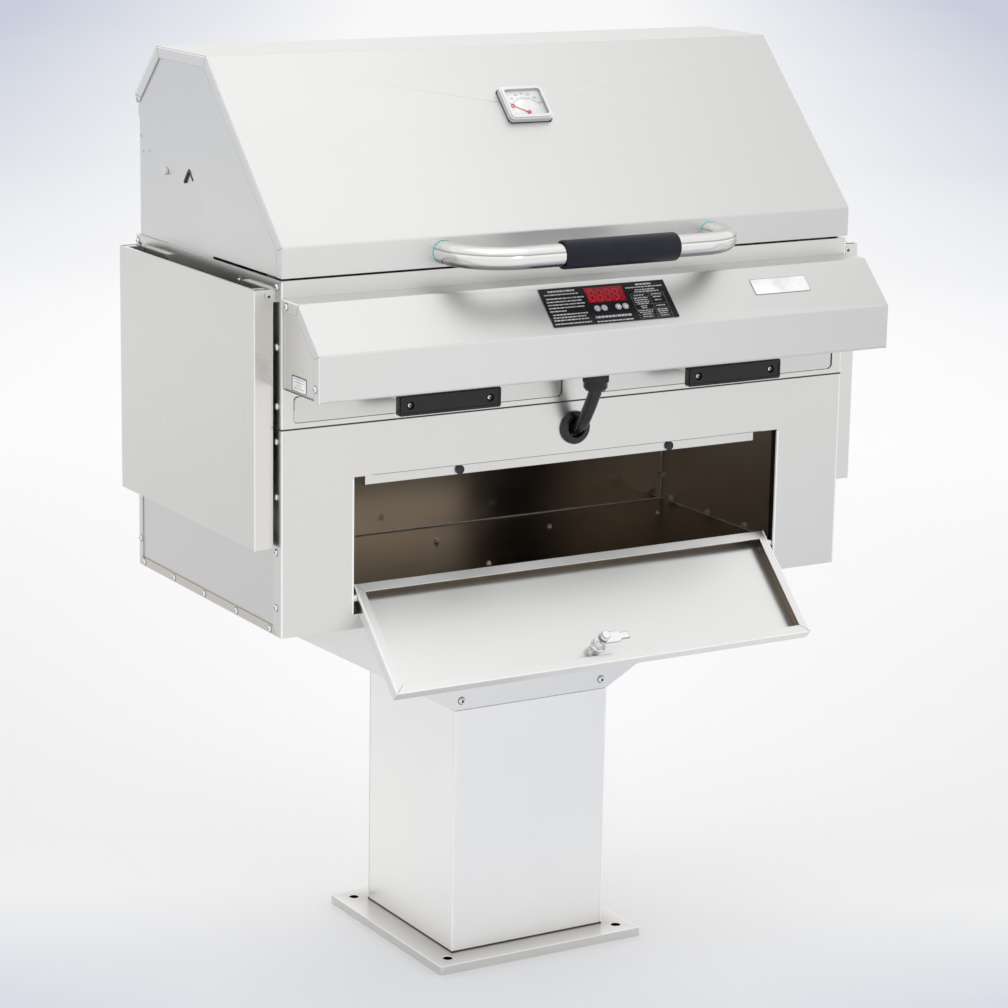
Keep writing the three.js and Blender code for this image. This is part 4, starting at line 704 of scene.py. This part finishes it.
# Studs and nuts inside the store, and pale lines where its sheets meet, painted highlights along the joints
def makeStore():
    store = dict(studs=[(-8.5 + 177.2 * k, 124) for k in range(-2, 3)] + [(-7.5, -12)], stud=(2.6, 4.6),
                 nuts=[(175, 502), (82.5, 502), (-6.5, 502), (-98, 502), (195.5, 532), (195.5, 598)],
                 nut=(3.7, 3.4), wall=402.9, rear=201.3, top=747, lineWidth=1.7, lineThickness=0.5,
                 lineFront=14)

    def studs(bm):
        radius, height = store["stud"]
        profile = [(radius * 1.5, 0), (radius * 1.5, 0.6), (radius, 0.8), (radius, height - 0.5),
                   (radius * 0.8, height), (0, height)]
        for x, y in store["studs"]:
            lathe(bm, frameAt((x, y, body["floor"]), (0, 0, 1)), profile, 16)
    add("store_studs", studs, "stud", "frame", smooth=35)

    def nuts(bm):
        radius, height = store["nut"]
        washer = [(radius * 1.25, 0), (radius * 1.25, 0.7), (radius, 0.8)]
        nut = [(radius, 0.8), (radius, height), (radius * 0.85, height + 0.4), (radius * 0.5, height + 0.5),
               (radius * 0.48, height + 2.6), (0, height + 3)]
        for hand in (-1, 1):
            for y, z in store["nuts"]:
                at = frameAt((hand * body["wall"], y, z), (-hand, 0, 0))
                lathe(bm, at, washer, 20)
                lathe(bm, at, nut, 6)
    add("store_nuts", nuts, "stud", "frame", smooth=35)

    # painted highlights: pale strips along the joints of the back, floor and sides
    def lines(bm):
        wall, rear, low = store["wall"], store["rear"], body["floor"]
        wide, thick = store["lineWidth"], store["lineThickness"]
        flat = Matrix.Scale(mm, 4)
        slab(bm, flat, -wall, wall, rear - thick, rear, low + 0.1, low + wide)
        for hand in (-1, 1):
            x = sorted((hand * wall, hand * (wall - thick)))
            slab(bm, flat, *x, body["front"] + store["lineFront"], rear - thick, low + 0.1, low + wide * 0.7)
            x = sorted((hand * (wall - thick), hand * (wall - thick - wide)))
            slab(bm, flat, *x, rear - thick, rear, low + wide, store["top"])
    add("store_joint_highlights", lines, "stud", "frame")


# A painted highlight: a bright sliver round a folded corner from a to b, between two faces
def bend(bm, a, b, faceA, faceB, width):
    a, b = Vector(a), Vector(b)
    n1, n2 = Vector(faceA), Vector(faceB)
    section = [(0.06, -width), (0.06, -0.3), (-0.3, 0.06), (-width, 0.06), (-0.5, -0.5)]
    rings = [[bm.verts.new((end + n1 * p + n2 * q) * mm) for p, q in section] for end in (a, b)]
    for i in range(len(section)):
        j = (i + 1) % len(section)
        bm.faces.new((rings[0][i], rings[0][j], rings[1][j], rings[1][i]))
    for ring in rings:
        bm.faces.new(ring)
    bmesh.ops.recalc_face_normals(bm, faces=bm.faces[-len(section) - 2:])


# The same painted highlight at an upright corner, between a side face and a front or back face
def uprightBend(bm, x, y, span, hand, end, width):
    bend(bm, (x, y, span[0]), (x, y, span[1]), (hand, 0, 0), (0, end, 0), width)


# Painted highlights on the column's corners, the body's front corners, the opening's reveals and the shelves'
# front corners
def makeBends():
    side, front = body["side"], body["front"]
    column = dict(half=114.3, span=(13.4, 338.2), width=1.5)
    corners = dict(spans=((body["underside"] + 0.4, 747.4), (750.6, 924.6)), width=1.6)
    opening = dict(half=309, span=(514, 681), width=2.4)
    shelf = dict(outer=435.5, front=-190.5, span=(603, 913.7), width=1.0)
    pivot = dict(place=(418, -192.3, 907), profile=[(1.9, 0), (1.9, 1.5), (0, 1.5)])

    def frameBends(bm):
        half, width = column["half"], column["width"]
        for hand in (-1, 1):
            for end in (-1, 1):
                uprightBend(bm, hand * half, end * half, column["span"], hand, end, width)
            for span in corners["spans"]:
                uprightBend(bm, hand * side, front, span, hand, -1, corners["width"])
    add("body_bends", frameBends, "edge", "frame")

    # painted shade: a dark plug in each shelf pivot screw's socket
    def sockets(bm):
        x, y, z = pivot["place"]
        for hand in (-1, 1):
            lathe(bm, frameAt((hand * x, y, z), (0, -1, 0)), pivot["profile"], 6)
    add("shelf_screw_sockets", sockets, "joint", "frame")

    def reveals(bm):
        for hand in (-1, 1):
            uprightBend(bm, hand * opening["half"], front, opening["span"], -hand, -1, opening["width"])
    add("reveal_edges", reveals, "edge", "frame")
    for hand, name in ((1, "right"), (-1, "left")):
        def shelfBends(bm):
            uprightBend(bm, hand * shelf["outer"], shelf["front"], shelf["span"], hand, -1, shelf["width"])
        add(name + "_shelf_bend", shelfBends, "edge", name + "_side_shelf")


# Dark joints: between the cupboard and the firebox, round the column's foot, beside the trays
def makeSeam():
    seam = dict(low=747.9, high=749.9, proud=0.05, turn=22)
    foot = dict(outer=114.45, inner=113, low=12.75, high=14.2)
    tray = dict(centre=205.5, half=184.5, face=body["front"] - 0.06,
                atEnd=[(-0.3, 2.2, 760.2, 785), (-1.4, 1.2, 758, 760.2), (-4.4, -1.0, 756.2, 758)],
                atStart=[(-0.5, 0.5, 772, 784), (0, 1.8, 784, 786.2), (1.2, 5.2, 786.6, 788)])
    crease = dict(half=284, low=683.1, high=683.6)

    def strip(bm):
        side, front = body["side"] + seam["proud"], body["front"] - seam["proud"]
        flat = Matrix.Scale(mm, 4)
        slab(bm, flat, -side, side, front, front + 1, seam["low"], seam["high"])
        for hand in (-1, 1):
            x = sorted((hand * side, hand * (side - 1)))
            slab(bm, flat, *x, front + 1, front + seam["turn"], seam["low"], seam["high"])
            x = sorted((hand * foot["outer"], hand * foot["inner"]))
            slab(bm, flat, *x, -foot["outer"], foot["outer"], foot["low"], foot["high"])
            slab(bm, flat, -foot["inner"], foot["inner"], *x, foot["low"], foot["high"])
            for end, marks in ((tray["half"], tray["atEnd"]), (-tray["half"], tray["atStart"])):
                x = hand * tray["centre"] + end
                for x0, x1, z0, z1 in marks:
                    slab(bm, flat, x + x0, x + x1, tray["face"], tray["face"] + 0.1, z0, z1)
        half = crease["half"]
        slab(bm, flat, -half, half, tray["face"], body["front"], crease["low"], crease["high"])
    add("body_seam", strip, "joint", "frame")


# The black edging in the notch of each hood end, painted shadow of the gap there, and the faint spots of
# welds beside it
def makeNotches():
    notch = dict(path=[(38, 1014.1), (41.5, 1017.6), (44.3, 1021.5), (47.0, 1025.2), (49.3, 1025.6),
                       (52.6, 1022.3), (56.4, 1018.0), (60.0, 1013.4), (63.2, 1008.7)],
                 half=1.5, inner=403.9, outer=405.6)
    spots = dict(x=403.35, places=[(193, 1052), (186, 1033), (167, 1035.5)],
                 profile=[(2.3, 0), (2.0, 0.14), (1.2, 0.2), (0, 0.2)])

    def shadowEdging(bm):
        path = notch["path"]
        rails = [offsetPath(path, notch["half"]), offsetPath(path, -notch["half"])]
        for hand in (-1, 1):
            layers = []
            for x in (notch["inner"], notch["outer"]):
                layers.append([[bm.verts.new(Vector((hand * x, *p)) * mm) for p in rail] for rail in rails])
            (a, b), (c, d) = layers
            for i in range(len(path) - 1):
                for p, q in ((a, b), (b, d), (d, c), (c, a)):
                    bm.faces.new((p[i], p[i + 1], q[i + 1], q[i]))
            for i in (0, len(path) - 1):
                bm.faces.new((a[i], b[i], d[i], c[i]))
    add("notch_shadow_edging", shadowEdging, "rubber", "hood", smooth=35)

    def marks(bm):
        for hand in (-1, 1):
            for y, z in spots["places"]:
                lathe(bm, frameAt((hand * spots["x"], y, z), (hand, 0, 0)), spots["profile"], 20)
    add("weld_spots", marks, "spot", "frame", smooth=35)


makeScrews()
makeStore()
makeBends()
makeSeam()
print("screws, studs, bends and joints made")


def onSlope(x=0.0, s=0.0, lift=0.0):
    (y0, z0), (y1, z1) = console["kink"], console["brow"]
    return frameAt((x, y0, z0), (0, -(z1 - z0), y1 - y0)) @ Matrix.Translation((0, s, lift))


panelTop, slope = 1.5, onSlope()


# Control panel: bare bars in place of words, and its ruling
def makePanel():
    top = panelTop
    heads = [(61.8, -75.5, -36.6, 1.25), (62.4, 50.1, 73.2, 1.25), (19.4, -25, 26.8, 1.5),
             (12.9, -25.4, 27, 0.85)]
    rows = [(57, -82.3, -32.5), (51.2, -82, -28), (46.6, -83, -33), (42.1, -83, -30), (37.5, -83.5, -32),
            (32.8, -84, -60), (27.6, -82, -32), (23.4, -83, -36), (19.4, -83.5, -34), (14.2, -84, -31.9),
            (58.4, 34.5, 87.5), (54.4, 46, 76), (51.4, 44, 80)]
    cells = [(46.4, 41, 57), (46.4, 66, 82), (42.2, 39, 60), (42.2, 67, 79), (39.2, 39, 60), (36.2, 39, 60),
             (37.6, 68, 78), (33.6, 41, 58), (29.8, 44, 54), (29.2, 66, 80), (27.2, 45, 53), (23.4, 38, 61),
             (23.4, 65, 82), (20.6, 39, 59), (20.6, 65, 81), (17.8, 42, 57), (17.8, 66, 78), (14.3, 41, 57),
             (14.3, 66, 79)]
    table = dict(columns=(36.4, 62.6, 84), lines=(48.6, 44.2, 32.4, 25.6, 16.4, 12.2))

    def words(bm, rng, s, x0, x1, half):
        x = x0
        while x < x1 - 1.5:
            end = min(x1, x + rng.uniform(2.2, 6.5))
            slab(bm, slope, x, end - 0.9, s - half, s + half, top, top + 0.05)
            x = end

    def bars(bm):
        rng = random.Random(3)
        for head in heads:
            words(bm, rng, *head)
        for row in rows:
            words(bm, rng, *row, 0.8)
        for cell in cells:
            words(bm, rng, *cell, 0.65)
    add("panel_bars", bars, "print", "frame")

    def ruling(bm):
        columns, lines = table["columns"], table["lines"]
        for s in lines:
            slab(bm, slope, columns[0], columns[-1], s - 0.15, s + 0.15, top, top + 0.04)
        for x in columns:
            slab(bm, slope, x - 0.15, x + 0.15, lines[-1], lines[0], top, top + 0.04)
    add("panel_ruling", ruling, "ruling", "frame")


# Display: red film and four red digits
def makeDisplay():
    window = dict(film=(-24.6, 28.8, 40.9, 63.0), edges=((25.2, 25.7, 41.5, 61.5), (-22.6, 25.7, 61.3, 61.8)))
    digit = dict(count=4, first=-21.2, step=11.4, middle=51.4, lean=0.12, tall=7.6, wide=7.4, half=0.8,
                 gap=0.9)
    top = panelTop

    def film(bm):
        slab(bm, slope, *window["film"], top - 0.3, top + 0.04)
    add("panel_window", film, "window", "frame")

    def digits(bm):
        tall, wide, half, gap = (digit[size] for size in ("tall", "wide", "half", "gap"))
        depth = top + 0.04, top + 0.08
        for i in range(digit["count"]):
            x0 = digit["first"] + i * digit["step"]
            for row in (-1, 0, 1):
                s, x = digit["middle"] + row * tall, x0 + row * tall * digit["lean"]
                slab(bm, slope, x + gap, x + wide - gap, s - half, s + half, *depth)
            for row in (-0.5, 0.5):
                s, left = digit["middle"] + row * tall, x0 + row * tall * digit["lean"]
                for x in (left, left + wide):
                    slab(bm, slope, x - half, x + half, s - tall / 2 + gap, s + tall / 2 - gap, *depth)
    add("panel_digits", digits, "digits", "frame")

    def frameLine(bm):
        for edge in window["edges"]:
            slab(bm, slope, *edge, top + 0.04, top + 0.07)
    add("window_edge", frameLine, "joint", "frame")


def makeArrows():
    arrows = dict(rise=32.1, top=2.4, half=1.9, foot=1.2, tip=1.7,
                  places=((12.8, "third", -1), (23.0, "fourth", 1)))
    for x, name, way in arrows["places"]:
        def arrow(bm):
            at = onSlope(x, arrows["rise"], arrows["top"])
            foot = -arrows["foot"] * way
            corners = [(-arrows["half"], foot), (arrows["half"], foot), (0, arrows["tip"] * way)]
            prism(bm, at, corners, 0.0, 0.06)
        add(name + "_button_mark", arrow, "label", name + "_button", smooth=35)


# Bare plates in place of the badge and the rating label
def makeSigns():
    def plate(bm, matrix, x0, x1, s0, s1, lift, radius=2.0):
        left, right, low, high = x0 + radius, x1 - radius, s0 + radius, s1 - radius
        rim = []
        for q, (x, s) in enumerate(((right, high), (left, high), (left, low), (right, low))):
            for k in range(5):
                a = (q + k / 4) * math.pi / 2
                rim.append((x + radius * math.cos(a), s + radius * math.sin(a)))
        prism(bm, matrix, rim, 0.08, lift)

    leftward = Matrix(((0, 0, -1, 0), (-1, 0, 0, 0), (0, 1, 0, 0), (0, 0, 0, 1)))
    sideFace = Matrix.Translation(Vector((-404.3, 0, 0)) * mm) @ leftward @ Matrix.Scale(mm, 4)
    signs = dict(
        badge=dict(at=slope, box=(217, 301, 32.4, 56), lift=0.5, rims=(0.5, 0.5, 0.5, 0.5), border="seam"),
        label=dict(at=sideFace, box=(225.8, 262.9, 801.9, 820.6), lift=0.3, rims=(1.9, 0.8, 0.8, 1.5),
                   border="border"),
    )
    for name, sign in signs.items():
        at, box, lift = sign["at"], sign["box"], sign["lift"]
        left, right, low, high = sign["rims"]
        inner = box[0] + left, box[1] - right, box[2] + low, box[3] - high
        add(name + "_border", lambda bm: plate(bm, at, *box, lift), sign["border"], "frame", smooth=20)
        add(name, lambda bm: plate(bm, at, *inner, lift + 0.08), name, "frame", smooth=20)

    def labelBars(bm):
        for z, a, b in ((817.2, 229.5, 259), (813.6, 234, 256), (809.8, 238, 252), (806.2, 231, 258)):
            slab(bm, sideFace, a, b, z - 0.55, z + 0.55, 0.38, 0.42)
    add("label_bars", labelBars, "labelInk", "frame", smooth=35)


# Dial: arc, ticks and plain numbers
def makeDial():
    dial = dict(x=-2.5, pivot=174.2, lift=5.0, first=150, radius=22.4, ticks=31, tickStep=4, tickHalf=0.16,
                arcSteps=60, arcStep=2, arcHalf=0.42, numbers=7, numberStep=20, numberSize=3.9,
                numberReach=(25.284, 29.6))
    gasket = dict(half=31.7, low=161.8, high=214.8, corner=2.5, depth=(0.02, 0.7))
    base = frameAt((dial["x"], hood["face"], hood["fold"]), (0, -slopeLean[0], slopeLean[1]))
    pivot, lift = dial["pivot"], dial["lift"]

    def turned(degrees):
        return base @ Matrix.Translation((0, pivot, lift)) @ Matrix.Rotation(math.radians(degrees), 4, "Z")

    def edge(bm):
        half, low, high, corner, depth = gasket.values()
        slab(bm, base, -half, half, low + corner, high - corner, *depth)
        slab(bm, base, corner - half, half - corner, low, high, *(d + 0.01 for d in depth))
    add("gauge_gasket", edge, "joint", "hood")

    def marks(bm):
        r = dial["radius"]
        for i in range(dial["ticks"]):
            long = 3.6 if i % 5 == 0 else 1.8
            at = turned(dial["first"] - i * dial["tickStep"])
            slab(bm, at, r, r + long, -dial["tickHalf"], dial["tickHalf"], 0.0, 0.05)
        for i in range(dial["arcSteps"]):
            at = turned(dial["first"] - i * dial["arcStep"] - 1)
            slab(bm, at, r - 0.3, r + 0.05, -dial["arcHalf"], dial["arcHalf"], 0.0, 0.05)
    add("dial_marks", marks, "ink", "hood")
    for i in range(dial["numbers"]):
        a = math.radians(dial["first"] - i * dial["numberStep"])
        text = bpy.data.curves.new(f"dial_number_{i}", "FONT")
        text.body = str((i + 1) * 100)
        text.size = dial["numberSize"] * mm
        text.align_x, text.align_y = "CENTER", "CENTER"
        text.extrude = 0.02 * mm
        number = bpy.data.objects.new(f"dial_number_{i}", text)
        bpy.context.scene.collection.objects.link(number)
        across, upward = dial["numberReach"]
        place = base @ Matrix.Translation((across * math.cos(a), pivot + upward * math.sin(a), lift + 0.03))
        number.matrix_world = Matrix.Translation(place.translation) @ base.to_3x3().normalized().to_4x4()
        own(number, "ink", "hood")


makePanel()
makeDisplay()
makeArrows()
makeSigns()
makeDial()
print("panel and dial made")


def offsetPath(path, distance):
    across = []
    for a, b in zip(path, path[1:]):
        along = (Vector(b) - Vector(a)).normalized()
        across.append(Vector((-along.y, along.x)))
    moved = []
    for i, point in enumerate(path):
        middle = across[max(i - 1, 0)] + across[min(i, len(across) - 1)]
        moved.append(Vector(point) + middle * (2 * distance / middle.length_squared))
    return moved


# Thin lines along laps and folded edges, and mitre lines where laps and lips meet: pale slivers on the folds
# are painted highlights, and the grey lines along the laps are painted shadow
def makeMitres():
    fall, top = hood["backFall"], hood["top"]
    rear = hood["face"] + hood["slopeRun"] + hood["topRun"] + fall
    hoodPath = [(rear - hood["tuck"], top - fall - hood["lip"]), (rear, top - fall), (rear - fall, top),
                (rear - fall - hood["topRun"], top), (hood["face"], hood["fold"]),
                (hood["face"], hood["bottom"])]
    kink, brow = console["kink"], console["brow"]
    consolePath = [(body["front"] - 0.3, brow[1]), brow, kink, (kink[0], console["bottom"])]

    def line(bm, a, b, normal, width=0.5):
        a, b = Vector(a), Vector(b)
        along = (b - a).normalized()
        across = along.cross(Vector(normal)).normalized()
        lift = Vector(normal).normalized()
        at = Matrix((along, across, lift)).transposed().to_4x4()
        at.translation = a * mm
        slab(bm, at @ Matrix.Scale(mm, 4), 0.8, (b - a).length, -width / 2, width / 2, -0.05, 0.06)

    def strip(bm, sideX, path, inset, width, first):
        rail = offsetPath(path, inset)
        for hand in (-1, 1):
            for p, q in list(zip(rail, rail[1:]))[first:]:
                line(bm, (hand * sideX, *p), (hand * sideX, *q), (hand, 0, 0), width)

    def mitres(bm, sideX, path, inset):
        for hand in (-1, 1):
            for p, q in list(zip(path, offsetPath(path, inset)))[1:-1]:
                line(bm, (hand * sideX, *p), (hand * sideX, *q), (hand, 0, 0))

    angle, widths = door["angle"], dict(side=2.2, top=1.3)
    pivot = Vector((0, door["face"] + door["thickness"] / 2, door["bottom"] + door["rise"]))
    inner = door["face"] + door["thickness"]
    inward, outward = (0, math.cos(angle), math.sin(angle)), (0, -math.sin(angle), math.cos(angle))

    def lowered(x, y, z):
        return pivot + Matrix.Rotation(angle, 3, "X") @ (Vector((x, y, z)) - pivot)

    def doorLines(bm):
        lip = door["lip"]
        for hand in (-1, 1):
            x = hand * door["half"]
            for z, sign in ((door["bottom"], 1), (door["bottom"] + door["length"], -1)):
                line(bm, lowered(x, inner, z), lowered(x - hand * lip, inner, z + sign * lip), inward)

    # painted highlights along the door's folded edges
    def doorBends(bm):
        half, low, high = door["half"], door["bottom"], door["bottom"] + door["length"]
        for x, hand in ((-half, -1), (half, 1)):
            bend(bm, lowered(x, inner, low), lowered(x, inner, high), (hand, 0, 0), inward, widths["side"])
        bend(bm, lowered(-half, inner, high), lowered(half, inner, high), outward, inward, widths["top"])
    add("door_bends", doorBends, "edge", "door")

    hoodSide, consoleSide = hood["side"], console["side"]
    # Name, look, body, side, path, inset, width and the first piece of the path
    strips = [("hood_bends", "edge", "hood", hoodSide, hoodPath, 1.0, 1.5, 1),
              ("console_bends", "edge", "frame", consoleSide, consolePath, 1.0, 1.7, 0),
              ("hood_rims", "joint", "hood", hoodSide, hoodPath, 0.2, 0.4, 1),
              ("hood_laps", "lap", "hood", hoodSide, hoodPath, hood["lap"], 0.4, 1),
              ("console_laps", "lap", "frame", consoleSide, consolePath, console["lap"], 0.4, 0)]
    for name, look, ridesOn, *course in strips:
        add(name, lambda bm: strip(bm, *course), look, ridesOn)

    def consoleFoot(bm):
        for hand in (-1, 1):
            x, z = hand * consoleSide, console["bottom"] + 1.8
            line(bm, (x, body["front"] - 2, z), (x, console["kink"][0] + 15, z), (hand, 0, 0), 0.9)
    add("console_foot", consoleFoot, "joint", "frame")
    for name, ridesOn, *course in (("hood_mitres", "hood", hoodSide, hoodPath, hood["lap"]),
                                   ("console_mitres", "frame", consoleSide, consolePath, console["lap"])):
        add(name, lambda bm: mitres(bm, *course), "seam", ridesOn)
    add("door_mitres", doorLines, "seam", "door")


makeMitres()
makeNotches()
print("mitres and notches made")
